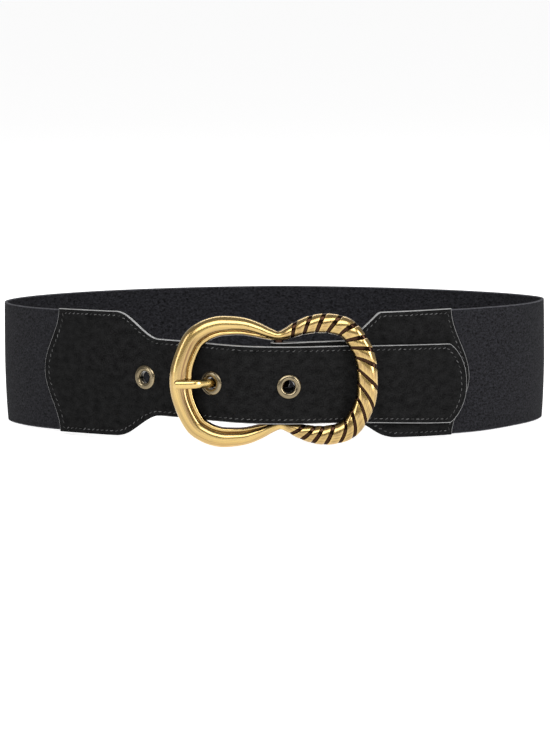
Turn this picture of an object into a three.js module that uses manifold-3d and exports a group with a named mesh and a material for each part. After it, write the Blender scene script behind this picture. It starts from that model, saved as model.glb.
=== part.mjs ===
// Elastic stretch belt with a cast two-lobe buckle, fastened and standing on its lower edge.
// Lengths are millimetres. +Z is up, the buckle faces -Y, and +X is the side of the strap tip.
// Distances along a strap or tab are measured from the buckle's centre bar.
import * as THREE from 'three';
import { mergeVertices } from 'three/addons/utils/BufferGeometryUtils.js';
import Module from 'manifold-3d';

const wasm = await Module();
wasm.setup();
const { Manifold, Mesh: SolidMesh } = wasm;

// Closed belt seen from above
const loopWidth = 272.4;
const frontDepth = 118;
const backDepth = 70;
const frontFullnessLeft = 1.6;
const frontFullnessRight = 1.7;
const backFullnessLeft = 1.83;
const backFullnessRight = 1.55;
const loopRounding = 0.1;
const frontLift = 3.5;

// Elastic band
const bandHeight = 60;
const bandThickness = 1.4;
const bandInsert = 16;
const bandPieces = 68;
const leanIn = 1.3;
const leanRun = 40;

// Leather
const leatherThickness = 1.1;
const pieceGap = 0.3;
const tabHeight = 61.2;
const waistClearance = 0.58;
const neckLayer = 1.3;

// Left tab and the strap that grows out of it
const leftTabEnd = -128.3;
const leftBulge = 11.7;
const leftShoulder = 26;
const leftTopShoulder = -88;
const leftLowShoulder = -90.2;
const leftTaperStart = -96;
const taperRun = 12;
const strapTip = 103.3;
const strapNose = 11;
const strapDropAtShoulder = 1;
const strapDropAtTip = 5.5;
const strapClearance = 0.4;
const strapLeaves = -0.558;
const strapReturns = 0.404;

// Right tab and the neck folded round the bar
const rightTabEnd = 91.8;
const rightBulge = 11.8;
const rightBulgeDrop = 3.5;
const rightTopShoulder = 35.3;
const rightTopRun = 15.2;
const rightLowShoulder = 36.7;
const rightLowRun = 17;
const rightTaperStart = 52;
const neckDrop = 1.45;
const neckMeet = 15;
const neckReturns = 0.367;
const slotHeight = 6;
const slotReach = 9.5;

// Buckle
const buckleWidth = 101.9;
const buckleHeight = 64.1;
const buckleForward = 0;
const buckleTilt = 1;
const buckleDrop = 1.05;
const rimDepth = 7;
const waistDepth = 5.2;
const ropeDepth = 6.4;
const barAcross = 1.9;
const barBack = 1;
const barRadius = 2.3;
const grooveDepth = 0.75;
const grooveWidth = 1.9;
const ropeCrest = 0.1;
const waistShare = 0.14;
const waistFade = 0.07;
const frameSides = 12;
const barSides = 16;

// Prong
const prongWidth = 3.9;
const prongThickness = 2.7;
const prongTipShare = 0.62;
const prongTaperRun = 12;
const prongRound = 1.2;
const prongSides = 10;

// Eyelets
const eyeletOuter = 11.8;
const eyeletHole = 5.9;
const eyeletBarrel = 7;
const eyeletBack = 10.4;
const eyeletCrown = 0.85;
const eyeletFoot = 0.6;
const eyeletSides = 20;
const eyeletDrop = 0.5;
const eyeletGap = 0.45;
const eyeletPitch = 38.8;
const eyeletsBeforeProng = 1;
const eyeletCount = 3;

const strapThickness = 2 * leatherThickness;
const tabThickness = strapThickness + bandThickness + 2 * pieceGap;
const neckThickness = 2 * neckLayer;
const foldRadius = barRadius + pieceGap + neckLayer / 2;
const endFullness = (frontFullnessLeft + backFullnessLeft) / 2;
const roundedEnd = (1 + 2 * Math.cos(loopRounding) ** (2 / endFullness)) / 3;
const loopHalf = (loopWidth - bandThickness) / (2 * roundedEnd);
const bucklePlane = -(frontDepth + buckleForward);
const buckleCentre = bandHeight / 2 + frontLift - buckleDrop;

// Height shares of the elastic with the share of the inward lean at each
const bandLevels = [
  { share: 0, lean: 1 },
  { share: 0.1, lean: 0.6 },
  { share: 0.3, lean: 0.2 },
  { share: 0.58, lean: 0 },
  { share: 1, lean: 0.12 },
];

// Strap bends near the buckle: across from its middle as a share of half its width,
// deep behind its plane as a share of the rim's depth
const strapBends = [
  { across: -1.335, deep: 3.727 },
  { across: -1.197, deep: 3.013 },
  { across: -1.021, deep: 2.125 },
  { across: -0.873, deep: 1.47 },
  { across: -0.736, deep: 0.844 },
  { across: -0.608, deep: 0.24 },
  { across: -0.491, deep: -0.298 },
  { across: -0.353, deep: -0.801 },
  { across: -0.196, deep: -1.055 },
  { across: -0.039, deep: -1.055 },
  { across: 0.139, deep: -0.859 },
  { across: 0.314, deep: -0.488 },
  { across: 0.491, deep: 0.073 },
  { across: 0.658, deep: 0.597 },
  { across: 0.752, deep: 0.859 },
  { across: 0.913, deep: 1.186 },
];

// Bends of the right tab's neck, in the same shares
const neckBends = [
  { across: 0.157, deep: 0.211 },
  { across: 0.314, deep: 0.386 },
  { across: 0.491, deep: 0.67 },
  { across: 0.658, deep: 1.055 },
  { across: 0.805, deep: 1.441 },
];

// Upper half of the buckle's middle line from the left rim to the rope rim, as shares of
// half the buckle's width and height, with the wire's half width as a share of half the height
const frameRows = [
  { across: -0.889, up: 0, wide: 0.178, rope: 0 },
  { across: -0.864, up: 0.293, wide: 0.169, rope: 0 },
  { across: -0.771, up: 0.624, wide: 0.167, rope: 0 },
  { across: -0.662, up: 0.768, wide: 0.163, rope: 0 },
  { across: -0.546, up: 0.836, wide: 0.157, rope: 0 },
  { across: -0.442, up: 0.85, wide: 0.15, rope: 0 },
  { across: -0.295, up: 0.836, wide: 0.135, rope: 0 },
  { across: -0.165, up: 0.78, wide: 0.117, rope: 0 },
  { across: -0.052, up: 0.714, wide: 0.092, rope: 0 },
  { across: 0.043, up: 0.68, wide: 0.072, rope: 0 },
  { across: 0.127, up: 0.71, wide: 0.09, rope: 0.5 },
  { across: 0.236, up: 0.785, wide: 0.115, rope: 1 },
  { across: 0.372, up: 0.843, wide: 0.138, rope: 1 },
  { across: 0.527, up: 0.849, wide: 0.15, rope: 1 },
  { across: 0.685, up: 0.772, wide: 0.156, rope: 1 },
  { across: 0.79, up: 0.575, wide: 0.158, rope: 1 },
  { across: 0.862, up: 0.32, wide: 0.158, rope: 1 },
  { across: 0.88, up: 0, wide: 0.158, rope: 1 },
];

// Rope grooves: share of the way round the right lobe from the upper waist to the lower one,
// and how far the outer end runs ahead for each millimetre of the wire's width
const ropeGrooves = [
  { along: 0.063, slant: 0.74 },
  { along: 0.119, slant: 0.72 },
  { along: 0.171, slant: 0.5 },
  { along: 0.224, slant: 0.56 },
  { along: 0.280, slant: 0.4 },
  { along: 0.331, slant: 0.4 },
  { along: 0.375, slant: 0.63 },
  { along: 0.429, slant: 0.71 },
  { along: 0.495, slant: 1.03 },
  { along: 0.562, slant: 1.18 },
  { along: 0.623, slant: 1.05 },
  { along: 0.686, slant: 0.96 },
  { along: 0.737, slant: 0.85 },
  { along: 0.797, slant: 0.58 },
  { along: 0.844, slant: 0.52 },
  { along: 0.884, slant: 0.65 },
  { along: 0.929, slant: 0.8 },
];

// Section across a groove: shares of its width and of its depth
const grooveSteps = [
  { step: -0.5, sink: 0.12 },
  { step: -0.16, sink: 0.9 },
  { step: 0.16, sink: 0.9 },
  { step: 0.5, sink: 0.12 },
];

// Opening of the folded neck towards the bar: distance from the bar and half the opening,
// as shares of the fold's radius
const foldRows = [
  { along: 5.85, apart: 0.2 },
  { along: 4.31, apart: 0.277 },
  { along: 2.77, apart: 0.62 },
  { along: 1.54, apart: 0.88 },
];

// Prong's middle line, in the same shares as the strap
const prongRows = [
  { across: -0.037, deep: 0.146 },
  { across: -0.157, deep: 0.415 },
  { across: -0.314, deep: 0.641 },
  { across: -0.432, deep: 0.67 },
  { across: -0.516, deep: 0.459 },
  { across: -0.591, deep: 0.16 },
  { across: -0.665, deep: -0.197 },
  { across: -0.732, deep: -0.531 },
  { across: -0.795, deep: -0.699 },
  { across: -0.864, deep: -0.75 },
  { across: -0.956, deep: -0.75 },
];

// The strap and the neck pass between the buckle's waists
const narrowest = Math.min(...frameRows.map((row) => row.wide));
const waistRow = frameRows.findIndex((row) => row.wide === narrowest);
const waistOpening = (frameRows[waistRow].up - narrowest) * buckleHeight;
const strapHeight = waistOpening - 2 * waistClearance;
const neckHeight = strapHeight;

// The prong crosses the strap where it first comes in front of the buckle's plane
const prongStop = (prongRows.find((row) => row.deep < 0).across * buckleWidth) / 2;

const elasticMaterial = new THREE.MeshStandardMaterial({ color: 0x1d1d22, roughness: 0.85, metalness: 0 });
const suedeMaterial = new THREE.MeshStandardMaterial({ color: 0x161616, roughness: 0.95, metalness: 0 });
const goldMaterial = new THREE.MeshStandardMaterial({ color: 0xb8923f, roughness: 0.3, metalness: 1 });
const eyeletMaterial = new THREE.MeshStandardMaterial({ color: 0x8f7f5c, roughness: 0.4, metalness: 1 });

function clamp(value, low, high) {
  return Math.min(Math.max(value, low), high);
}

function mix(from, to, share) {
  return from + (to - from) * share;
}

function ease(share) {
  const inside = clamp(share, 0, 1);
  return inside * inside * (3 - 2 * inside);
}

// Evenly spaced numbers from one end to the other, both included
function spread(from, to, pieces) {
  const numbers = [];
  for (let i = 0; i <= pieces; i += 1) {
    numbers.push(mix(from, to, i / pieces));
  }
  return numbers;
}

// Point of a pointed oval, turned from the front centre towards +X
function ovalPoint(turn) {
  const sine = Math.sin(turn);
  const cosine = Math.cos(turn);
  const inFront = cosine > 0;
  const onRight = sine > 0;
  let fullness = onRight ? frontFullnessRight : frontFullnessLeft;
  if (!inFront) {
    fullness = onRight ? backFullnessRight : backFullnessLeft;
  }
  const across = Math.sign(sine) * Math.abs(sine) ** (2 / fullness);
  const deep = Math.abs(cosine) ** (2 / fullness);
  return new THREE.Vector3(loopHalf * across, inFront ? -frontDepth * deep : backDepth * deep, 0);
}

// Point of the closed loop's middle line: the oval with its points rounded off
function loopPoint(turn) {
  const before = ovalPoint(turn - loopRounding);
  const after = ovalPoint(turn + loopRounding);
  return ovalPoint(turn).add(before).add(after).divideScalar(3);
}

// Turn of the loop's front half at a given distance across
function frontTurn(across) {
  const fullness = across > 0 ? frontFullnessRight : frontFullnessLeft;
  return Math.sign(across) * Math.asin((Math.abs(across) / loopHalf) ** (fullness / 2));
}

// Front point of the loop, set outward from its middle line
function frontPoint(across, outward) {
  const turn = frontTurn(across);
  const before = loopPoint(turn - 0.002);
  const after = loopPoint(turn + 0.002);
  const run = after.sub(before).normalize();
  const point = loopPoint(turn);
  return new THREE.Vector3(point.x + run.y * outward, point.y - run.x * outward, 0);
}

// Middle height of the elastic, which rises towards the front where the buckle stands below it
function middleHeight(deep) {
  return bandHeight / 2 + frontLift * ease(-deep / frontDepth);
}

// Route through points, read by distance from a chosen start
function makeRoute(points, zeroAcross) {
  const curve = new THREE.CatmullRomCurve3(points, false, 'centripetal');
  curve.arcLengthDivisions = 1200;
  const total = curve.getLength();
  let zero = 0;
  if (zeroAcross !== null) {
    for (let i = 0; i <= 1200; i += 1) {
      if (curve.getPointAt(i / 1200).x < zeroAcross) {
        zero = (i / 1200) * total;
      }
    }
  }
  function at(along) {
    const share = clamp((along + zero) / total, 0, 1);
    const point = curve.getPointAt(share);
    const run = curve.getTangentAt(share);
    return { x: point.x, y: point.y, outX: run.y, outY: -run.x };
  }
  return { at, from: -zero, to: total - zero };
}

// Closed solid through rings of matching points, with capped ends unless the rings close up
function loft(rings, closed) {
  const sides = rings[0].length;
  const positions = [];
  for (const ring of rings) {
    for (const point of ring) {
      positions.push(point.x, point.y, point.z);
    }
  }
  const index = [];
  const spans = closed ? rings.length : rings.length - 1;
  for (let i = 0; i < spans; i += 1) {
    const next = (i + 1) % rings.length;
    for (let j = 0; j < sides; j += 1) {
      const side = (j + 1) % sides;
      const a = i * sides + j;
      const b = i * sides + side;
      const c = next * sides + side;
      const d = next * sides + j;
      index.push(a, b, c, a, c, d);
    }
  }
  if (!closed) {
    for (const [start, flip] of [[0, true], [(rings.length - 1) * sides, false]]) {
      for (let j = 0; j < sides / 2 - 1; j += 1) {
        const a = start + j;
        const b = start + j + 1;
        const c = start + sides - 2 - j;
        const d = start + sides - 1 - j;
        if (flip) {
          index.push(a, d, c, a, c, b);
        } else {
          index.push(a, b, c, a, c, d);
        }
      }
    }
  }
  const geometry = new THREE.BufferGeometry();
  geometry.setAttribute('position', new THREE.Float32BufferAttribute(positions, 3));
  geometry.setIndex(index);
  return faceOutward(geometry);
}

// Turns a closed surface so that its faces look outward
function faceOutward(geometry) {
  const place = geometry.getAttribute('position');
  const index = geometry.getIndex().array;
  const a = new THREE.Vector3();
  const b = new THREE.Vector3();
  const c = new THREE.Vector3();
  let volume = 0;
  for (let i = 0; i < index.length; i += 3) {
    a.fromBufferAttribute(place, index[i]);
    b.fromBufferAttribute(place, index[i + 1]);
    c.fromBufferAttribute(place, index[i + 2]);
    volume += a.dot(b.cross(c));
  }
  if (volume < 0) {
    const turned = Array.from(index);
    for (let i = 0; i < turned.length; i += 3) {
      [turned[i + 1], turned[i + 2]] = [turned[i + 2], turned[i + 1]];
    }
    geometry.setIndex(turned);
  }
  return geometry;
}

function toSolid(geometry) {
  const plain = new THREE.BufferGeometry();
  plain.setAttribute('position', geometry.getAttribute('position').clone());
  plain.setIndex(Array.from(geometry.getIndex().array));
  const joined = mergeVertices(plain, 1e-5);
  return new Manifold(new SolidMesh({
    numProp: 3,
    vertProperties: new Float32Array(joined.getAttribute('position').array),
    triVerts: new Uint32Array(joined.getIndex().array),
  }));
}

function fromSolid(solid) {
  const mesh = solid.getMesh();
  const geometry = new THREE.BufferGeometry();
  const positions = new Float32Array(mesh.numVert * 3);
  for (let i = 0; i < mesh.numVert; i += 1) {
    for (let j = 0; j < 3; j += 1) {
      positions[i * 3 + j] = mesh.vertProperties[i * mesh.numProp + j];
    }
  }
  geometry.setAttribute('position', new THREE.BufferAttribute(positions, 3));
  geometry.setIndex(Array.from(mesh.triVerts));
  return geometry;
}

function named(name, geometry, material) {
  geometry.computeVertexNormals();
  const mesh = new THREE.Mesh(geometry, material);
  mesh.name = name;
  return mesh;
}

// Strip of sheet along a route: each station gives its distance, low and high edge and thickness
function strip(route, stations) {
  const rings = stations.map((station) => {
    const spot = route.at(station.along);
    const half = station.thick / 2;
    const front = { x: spot.x + spot.outX * half, y: spot.y + spot.outY * half };
    const back = { x: spot.x - spot.outX * half, y: spot.y - spot.outY * half };
    return [
      new THREE.Vector3(front.x, front.y, station.low),
      new THREE.Vector3(front.x, front.y, station.high),
      new THREE.Vector3(back.x, back.y, station.high),
      new THREE.Vector3(back.x, back.y, station.low),
    ];
  });
  return loft(rings, false);
}

// Heights where a bulged tab end is open to a share of its reach
function bulgeOpening(reached) {
  return Math.acos(clamp(2 * reached - 1, -1, 1)) / Math.PI;
}

// Heights where the strap's blunt tip is open to a share of its reach
function noseOpening(reached) {
  return (1 - reached ** 1.25) ** (1 / 2.2);
}

const bulgeShares = [0.985, 0.93, 0.82, 0.66, 0.48, 0.3, 0.15, 0.04];
const noseShares = [0.3, 0.55, 0.75, 0.9, 0.985];

// Point beside the buckle from a table row
function besideBuckle(row) {
  return new THREE.Vector3((row.across * buckleWidth) / 2, bucklePlane + row.deep * rimDepth, 0);
}

// Points along the loop's front, between two shares of half its width
function alongFront(from, to, pieces, outward) {
  return spread(from, to, pieces).map((share) => frontPoint(share * loopHalf, outward));
}

// Routes of the strap, the right tab and the elastic
const strapOffset = tabThickness / 2 + strapClearance + strapThickness / 2;
const strapStart = alongFront(-0.935, strapLeaves, 7, 0);
const strapEnd = alongFront(strapReturns, 0.727, 6, strapOffset);
const strapMiddle = strapBends.map((bend) => besideBuckle(bend));
const strapRoute = makeRoute([...strapStart, ...strapMiddle, ...strapEnd], barAcross);

const neckStart = new THREE.Vector3(barAcross, bucklePlane + barBack, 0);
const neckMiddle = neckBends.map((bend) => besideBuckle(bend));
const tabSide = alongFront(neckReturns, 0.793, 8, 0);
const tabRoute = makeRoute([neckStart, ...neckMiddle, ...tabSide], null);

const bandFrom = frontTurn(tabRoute.at(rightTabEnd - bandInsert).x);
const bandTo = 2 * Math.PI + frontTurn(strapRoute.at(leftTabEnd + bandInsert).x);

// Elastic band round the sides and the back, leaning in a little at its lower edge
function makeBand() {
  const points = spread(bandFrom, bandTo, 96).map((turn) => loopPoint(turn));
  const route = makeRoute(points, null);
  const rings = spread(route.from, route.to, bandPieces).map((along) => {
    const spot = route.at(along);
    const toEnd = Math.min(along - route.from, route.to - along);
    const leaning = leanIn * ease((toEnd - bandInsert - rightBulge) / leanRun);
    const foot = middleHeight(spot.y) - bandHeight / 2;
    const side = (outward) => bandLevels.map((level) => {
      const shift = outward - leaning * level.lean;
      return new THREE.Vector3(
        spot.x + spot.outX * shift,
        spot.y + spot.outY * shift,
        foot + level.share * bandHeight,
      );
    });
    return [...side(bandThickness / 2), ...side(-bandThickness / 2).reverse()];
  });
  return loft(rings, false);
}

const pocketTurn = Math.PI / 2 - 0.05;

// Cutter that opens a tab into two layers for the end of the elastic
function pocket(fromTurn, toTurn) {
  const points = spread(fromTurn, toTurn, 12).map((turn) => loopPoint(turn));
  const route = makeRoute(points, null);
  const stations = spread(route.from, route.to, 12).map((along) => ({
    along,
    low: -bandHeight,
    high: 2 * bandHeight,
    thick: bandThickness + 2 * pieceGap,
  }));
  return toSolid(strip(route, stations));
}

// Drop of the strap's middle below the elastic's middle
function strapDrop(along) {
  const shoulder = leftLowShoulder + leftShoulder;
  return mix(strapDropAtShoulder, strapDropAtTip, (along - shoulder) / (strapTip - shoulder));
}

function strapStation(along, opening) {
  const middle = middleHeight(strapRoute.at(along).y);
  const strapMid = middle - strapDrop(along);
  const topShare = ease((along - leftTopShoulder) / leftShoulder);
  const lowShare = ease((along - leftLowShoulder) / leftShoulder);
  const high = mix(middle + tabHeight / 2, strapMid + strapHeight / 2, topShare);
  const low = mix(middle - tabHeight / 2, strapMid - strapHeight / 2, lowShare);
  const centre = (high + low) / 2;
  return {
    along,
    low: mix(centre, low, opening),
    high: mix(centre, high, opening),
    thick: mix(tabThickness, strapThickness, ease((along - leftTaperStart) / taperRun)),
  };
}

// Distances of the eyelets along the strap, from the one that the prong passes through
const eyeletStops = [];
for (let i = 0; i < eyeletCount; i += 1) {
  eyeletStops.push(prongStop + (i - eyeletsBeforeProng) * eyeletPitch);
}

function eyeletHeight(stop) {
  return middleHeight(strapRoute.at(stop).y) - strapDrop(stop) - eyeletDrop;
}

const prongHeight = eyeletHeight(prongStop);

function eyeletPlace(stop) {
  const spot = strapRoute.at(stop);
  const outward = new THREE.Vector3(spot.outX, spot.outY, 0);
  const turn = new THREE.Quaternion().setFromUnitVectors(new THREE.Vector3(0, 1, 0), outward);
  const centre = new THREE.Vector3(spot.x, spot.y, eyeletHeight(stop));
  return new THREE.Matrix4().compose(centre, turn, new THREE.Vector3(1, 1, 1));
}

// Left tab and strap in one piece of doubled leather
function makeLeftTab() {
  const neckFrom = leftTopShoulder + leftShoulder;
  const tabAlongs = spread(leftTabEnd, leftLowShoulder, 8).slice(0, -1);
  const shoulderAlongs = spread(leftLowShoulder, neckFrom, 11);
  const strapAlongs = spread(neckFrom, strapTip - strapNose, 39).slice(1);
  const stations = [
    ...bulgeShares.map((share) => strapStation(leftTabEnd - leftBulge * share, bulgeOpening(share))),
    ...tabAlongs.map((along) => strapStation(along, 1)),
    ...shoulderAlongs.map((along) => strapStation(along, 1)),
    ...strapAlongs.map((along) => strapStation(along, 1)),
    ...noseShares.map((share) => strapStation(strapTip - strapNose * (1 - share), noseOpening(share))),
  ];
  let solid = toSolid(strip(strapRoute, stations));
  const pocketFrom = frontTurn(strapRoute.at(leftTabEnd + bandInsert + pieceGap).x);
  solid = solid.subtract(pocket(-pocketTurn, pocketFrom));
  for (const stop of eyeletStops) {
    const radius = eyeletBarrel / 2 + pieceGap;
    const hole = new THREE.CylinderGeometry(radius, radius, 4 * strapThickness, eyeletSides);
    hole.applyMatrix4(eyeletPlace(stop));
    solid = solid.subtract(toSolid(hole));
  }
  return fromSolid(solid);
}

function tabStation(along, opening) {
  const middle = middleHeight(tabRoute.at(along).y);
  const neckMid = middle - neckDrop;
  const topShare = clamp((along - rightTopShoulder) / rightTopRun, 0, 1);
  const lowShare = clamp((along - rightLowShoulder) / rightLowRun, 0, 1);
  const high = mix(neckMid + neckHeight / 2, middle + tabHeight / 2, topShare);
  const low = mix(neckMid - neckHeight / 2, middle - tabHeight / 2, lowShare);
  const centre = middle - rightBulgeDrop;
  return {
    along,
    low: mix(centre, low, opening),
    high: mix(centre, high, opening),
    thick: mix(neckThickness, tabThickness, ease((along - rightTaperStart) / taperRun)),
  };
}

// Right tab whose neck folds round the bar, with a slot in the fold for the prong
function makeRightTab() {
  const alongs = [
    ...spread(neckMeet, rightTopShoulder, 4),
    ...spread(rightLowShoulder, rightTopShoulder + rightTopRun, 4),
    ...spread(rightLowShoulder + rightLowRun, rightTabEnd, 9),
  ].sort((a, b) => a - b);
  const stations = [
    ...alongs.map((along) => tabStation(along, 1)),
    ...bulgeShares.toReversed().map((share) => (
      tabStation(rightTabEnd + rightBulge * share, bulgeOpening(share)))),
  ];
  let solid = toSolid(strip(tabRoute, stations));

  const layer = (side) => foldRows.map((row) => {
    const spot = tabRoute.at(row.along * foldRadius);
    const apart = side * row.apart * foldRadius;
    return new THREE.Vector3(spot.x + spot.outX * apart, spot.y + spot.outY * apart, 0);
  });
  const wrap = spread(-0.5, -1.5, 8).map((share) => new THREE.Vector3(
    barAcross + foldRadius * Math.cos(share * Math.PI),
    bucklePlane + barBack + foldRadius * Math.sin(share * Math.PI),
    0,
  ));
  const foldRoute = makeRoute([...layer(1), ...wrap, ...layer(-1).toReversed()], null);
  const neckMid = middleHeight(bucklePlane) - neckDrop;
  const foldStations = spread(foldRoute.from, foldRoute.to, 30).map((along) => ({
    along,
    low: neckMid - neckHeight / 2,
    high: neckMid + neckHeight / 2,
    thick: neckLayer,
  }));
  solid = solid.add(toSolid(strip(foldRoute, foldStations)));

  const overrun = 3 * foldRadius;
  const slot = new THREE.BoxGeometry(slotReach + overrun, 2 * overrun, slotHeight);
  slot.translate(barAcross + (slotReach - overrun) / 2, bucklePlane + barBack, prongHeight);
  solid = solid.subtract(toSolid(slot));

  const pocketFrom = frontTurn(tabRoute.at(rightTabEnd - bandInsert - pieceGap).x);
  solid = solid.subtract(pocket(pocketFrom, pocketTurn));
  return fromSolid(solid);
}

// Smooth value of a table column between its rows
function between(rows, column, place) {
  const row = clamp(Math.floor(place), 0, rows.length - 2);
  const share = place - row;
  const value = (i) => rows[clamp(i, 0, rows.length - 1)][column];
  const [a, b, c, d] = [value(row - 1), value(row), value(row + 1), value(row + 2)];
  const bend = (2 * a - 5 * b + 4 * c - d) * share * share + (3 * b - a - 3 * c + d) * share ** 3;
  return b + ((c - a) * share + bend) / 2;
}

// Whole outline of the buckle: the upper rows, then the same rows below in reverse
const lowerRows = frameRows.slice(1, -1).toReversed().map((row) => ({ ...row, up: -row.up }));
const outline = [...frameRows, ...lowerRows];
const ringRows = [outline.at(-1), ...outline, outline[0], outline[1]];

// Point of the frame's middle line, tilted a little about the bar
function framePoint(place) {
  const across = between(ringRows, 'across', place + 1) * (buckleWidth / 2);
  const up = between(ringRows, 'up', place + 1) * (buckleHeight / 2);
  const pivot = new THREE.Vector2(barAcross, 0);
  return new THREE.Vector2(across, up).rotateAround(pivot, THREE.MathUtils.degToRad(buckleTilt));
}

// Distances round the rope lobe from the upper waist row to the lower one
const lowerWaistRow = outline.length - waistRow;
const ropePlaces = spread(waistRow, lowerWaistRow, 400);
const ropeLengths = [0];
for (let i = 1; i < ropePlaces.length; i += 1) {
  const step = framePoint(ropePlaces[i]).distanceTo(framePoint(ropePlaces[i - 1]));
  ropeLengths.push(ropeLengths[i - 1] + step);
}
const ropeLength = ropeLengths.at(-1);

function ropePlace(distance) {
  const wanted = clamp(distance, 0, ropeLength);
  let i = 1;
  while (i < ropeLengths.length - 1 && ropeLengths[i] < wanted) {
    i += 1;
  }
  const share = (wanted - ropeLengths[i - 1]) / (ropeLengths[i] - ropeLengths[i - 1]);
  return mix(ropePlaces[i - 1], ropePlaces[i], share);
}

// One ring of the frame; the slant moves its outer side ahead and its inner side back
function frameRing(place, sink, slant) {
  const ring = [];
  for (let j = 0; j < frameSides; j += 1) {
    const angle = (2 * Math.PI * (j + 0.5)) / frameSides;
    const lateral = Math.cos(angle);
    const spotPlace = slant ? ropePlace(slant.distance + slant.lead * lateral) : place;
    const spot = framePoint(spotPlace);
    const ahead = framePoint(spotPlace + 0.01).sub(framePoint(spotPlace - 0.01)).normalize();
    const half = between(ringRows, 'wide', spotPlace + 1) * (buckleHeight / 2) - sink;
    const rope = clamp(between(ringRows, 'rope', spotPlace + 1), 0, 1);
    const slimming = (waistShare - between(ringRows, 'wide', spotPlace + 1)) / waistFade;
    const waisted = clamp(slimming, 0, 1);
    const depth = mix(mix(rimDepth, ropeDepth, rope), waistDepth, waisted) / 2 - sink;
    ring.push(new THREE.Vector3(
      spot.x - ahead.y * half * lateral,
      bucklePlane - depth * Math.sin(angle),
      buckleCentre + spot.y + ahead.x * half * lateral,
    ));
  }
  return ring;
}

// Cast frame: smooth left lobe, rope-twist right lobe and the bar between the waists
function makeFrame() {
  const rings = [];
  const smoothFrom = lowerWaistRow;
  const smoothTo = outline.length + waistRow;
  for (const place of spread(smoothFrom, smoothTo, 54).slice(1, -1)) {
    rings.push(frameRing(place % outline.length, 0, null));
  }
  rings.push(frameRing(waistRow, 0, { distance: 0, lead: 0 }));
  ropeGrooves.forEach(({ along, slant }, i) => {
    const centre = along * ropeLength;
    const half = between(ringRows, 'wide', ropePlace(centre) + 1) * (buckleHeight / 2);
    for (const { step, sink } of grooveSteps) {
      const distance = centre + step * grooveWidth;
      rings.push(frameRing(0, sink * grooveDepth, { distance, lead: half * slant }));
    }
    if (i < ropeGrooves.length - 1) {
      const next = ropeGrooves[i + 1];
      const distance = ((along + next.along) / 2) * ropeLength;
      rings.push(frameRing(0, -ropeCrest, { distance, lead: (half * (slant + next.slant)) / 2 }));
    }
  });
  rings.push(frameRing(lowerWaistRow, 0, { distance: ropeLength, lead: 0 }));
  const loop = toSolid(loft(rings, true));

  const barLength = 2 * frameRows[waistRow].up * (buckleHeight / 2);
  const bar = new THREE.CylinderGeometry(barRadius, barRadius, barLength, barSides);
  bar.rotateX(Math.PI / 2);
  bar.translate(barAcross, bucklePlane + barBack, buckleCentre);
  return fromSolid(loop.add(toSolid(bar)));
}

// Prong: an eye round the bar and a shank through the eyelet onto the left rim
function makeProng() {
  const eyeRadius = barRadius + pieceGap + prongThickness / 2;
  const section = (spot, outX, outY, share) => {
    const ring = [];
    for (let j = 0; j < prongSides; j += 1) {
      const angle = (2 * Math.PI * (j + 0.5)) / prongSides;
      const out = (prongThickness / 2) * share * Math.cos(angle);
      ring.push(new THREE.Vector3(
        spot.x + outX * out,
        spot.y + outY * out,
        prongHeight + (prongWidth / 2) * share * Math.sin(angle),
      ));
    }
    return ring;
  };
  const eyeRings = spread(0, 2 * Math.PI, 20).slice(0, -1).map((turn) => {
    const outX = Math.cos(turn);
    const outY = Math.sin(turn);
    const x = barAcross + eyeRadius * outX;
    const y = bucklePlane + barBack + eyeRadius * outY;
    return section({ x, y }, outX, outY, 1);
  });
  const points = prongRows.map((row) => besideBuckle(row));
  const route = makeRoute(points, null);
  const alongs = [
    ...spread(route.from, route.to - prongRound, 22),
    route.to - 0.4 * prongRound,
    route.to,
  ];
  const shankRings = alongs.map((along) => {
    const spot = route.at(along);
    const toTip = route.to - along;
    const taper = mix(1, prongTipShare, ease(1 - toTip / prongTaperRun));
    const round = Math.sqrt(clamp(toTip / prongRound + 0.25, 0, 1));
    return section(spot, spot.outX, spot.outY, taper * round);
  });
  const eye = toSolid(loft(eyeRings, true));
  const shank = toSolid(loft(shankRings, false));
  return fromSolid(eye.add(shank));
}

// Eyelet: front crown, barrel through the strap and a flat rolled foot behind
function makeEyelet(stop) {
  const reach = strapThickness / 2 + eyeletGap;
  const hole = eyeletHole / 2;
  const outer = eyeletOuter / 2;
  const barrel = eyeletBarrel / 2;
  const back = eyeletBack / 2;
  const profile = [
    [hole, -reach - eyeletFoot],
    [back, -reach - eyeletFoot],
    [back, -reach],
    [barrel, -reach],
    [barrel, reach],
    [outer, reach],
    [mix(hole, outer, 0.95), reach + eyeletCrown * 0.6],
    [mix(hole, outer, 0.62), reach + eyeletCrown],
    [mix(hole, outer, 0.22), reach + eyeletCrown * 0.8],
    [hole, reach],
    [hole, -reach - eyeletFoot],
  ].map(([radius, height]) => new THREE.Vector2(radius, height));
  const lathe = new THREE.LatheGeometry(profile, eyeletSides);
  lathe.deleteAttribute('normal');
  lathe.deleteAttribute('uv');
  const geometry = faceOutward(mergeVertices(lathe, 1e-4));
  geometry.applyMatrix4(eyeletPlace(stop));
  return geometry;
}

const belt = new THREE.Group();
belt.name = 'stretch_belt';
const leather = new THREE.Group();
leather.name = 'leather';
const buckle = new THREE.Group();
buckle.name = 'buckle';
const eyelets = new THREE.Group();
eyelets.name = 'eyelets';

belt.add(named('elastic_band', makeBand(), elasticMaterial));
leather.add(named('left_tab', makeLeftTab(), suedeMaterial.clone()));
leather.add(named('right_tab', makeRightTab(), suedeMaterial.clone()));
buckle.add(named('buckle_frame', makeFrame(), goldMaterial));
buckle.add(named('buckle_prong', makeProng(), goldMaterial.clone()));
eyeletStops.forEach((stop, i) => {
  eyelets.add(named(`eyelet_${i + 1}`, makeEyelet(stop), eyeletMaterial.clone()));
});
belt.add(leather, buckle, eyelets);

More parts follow.
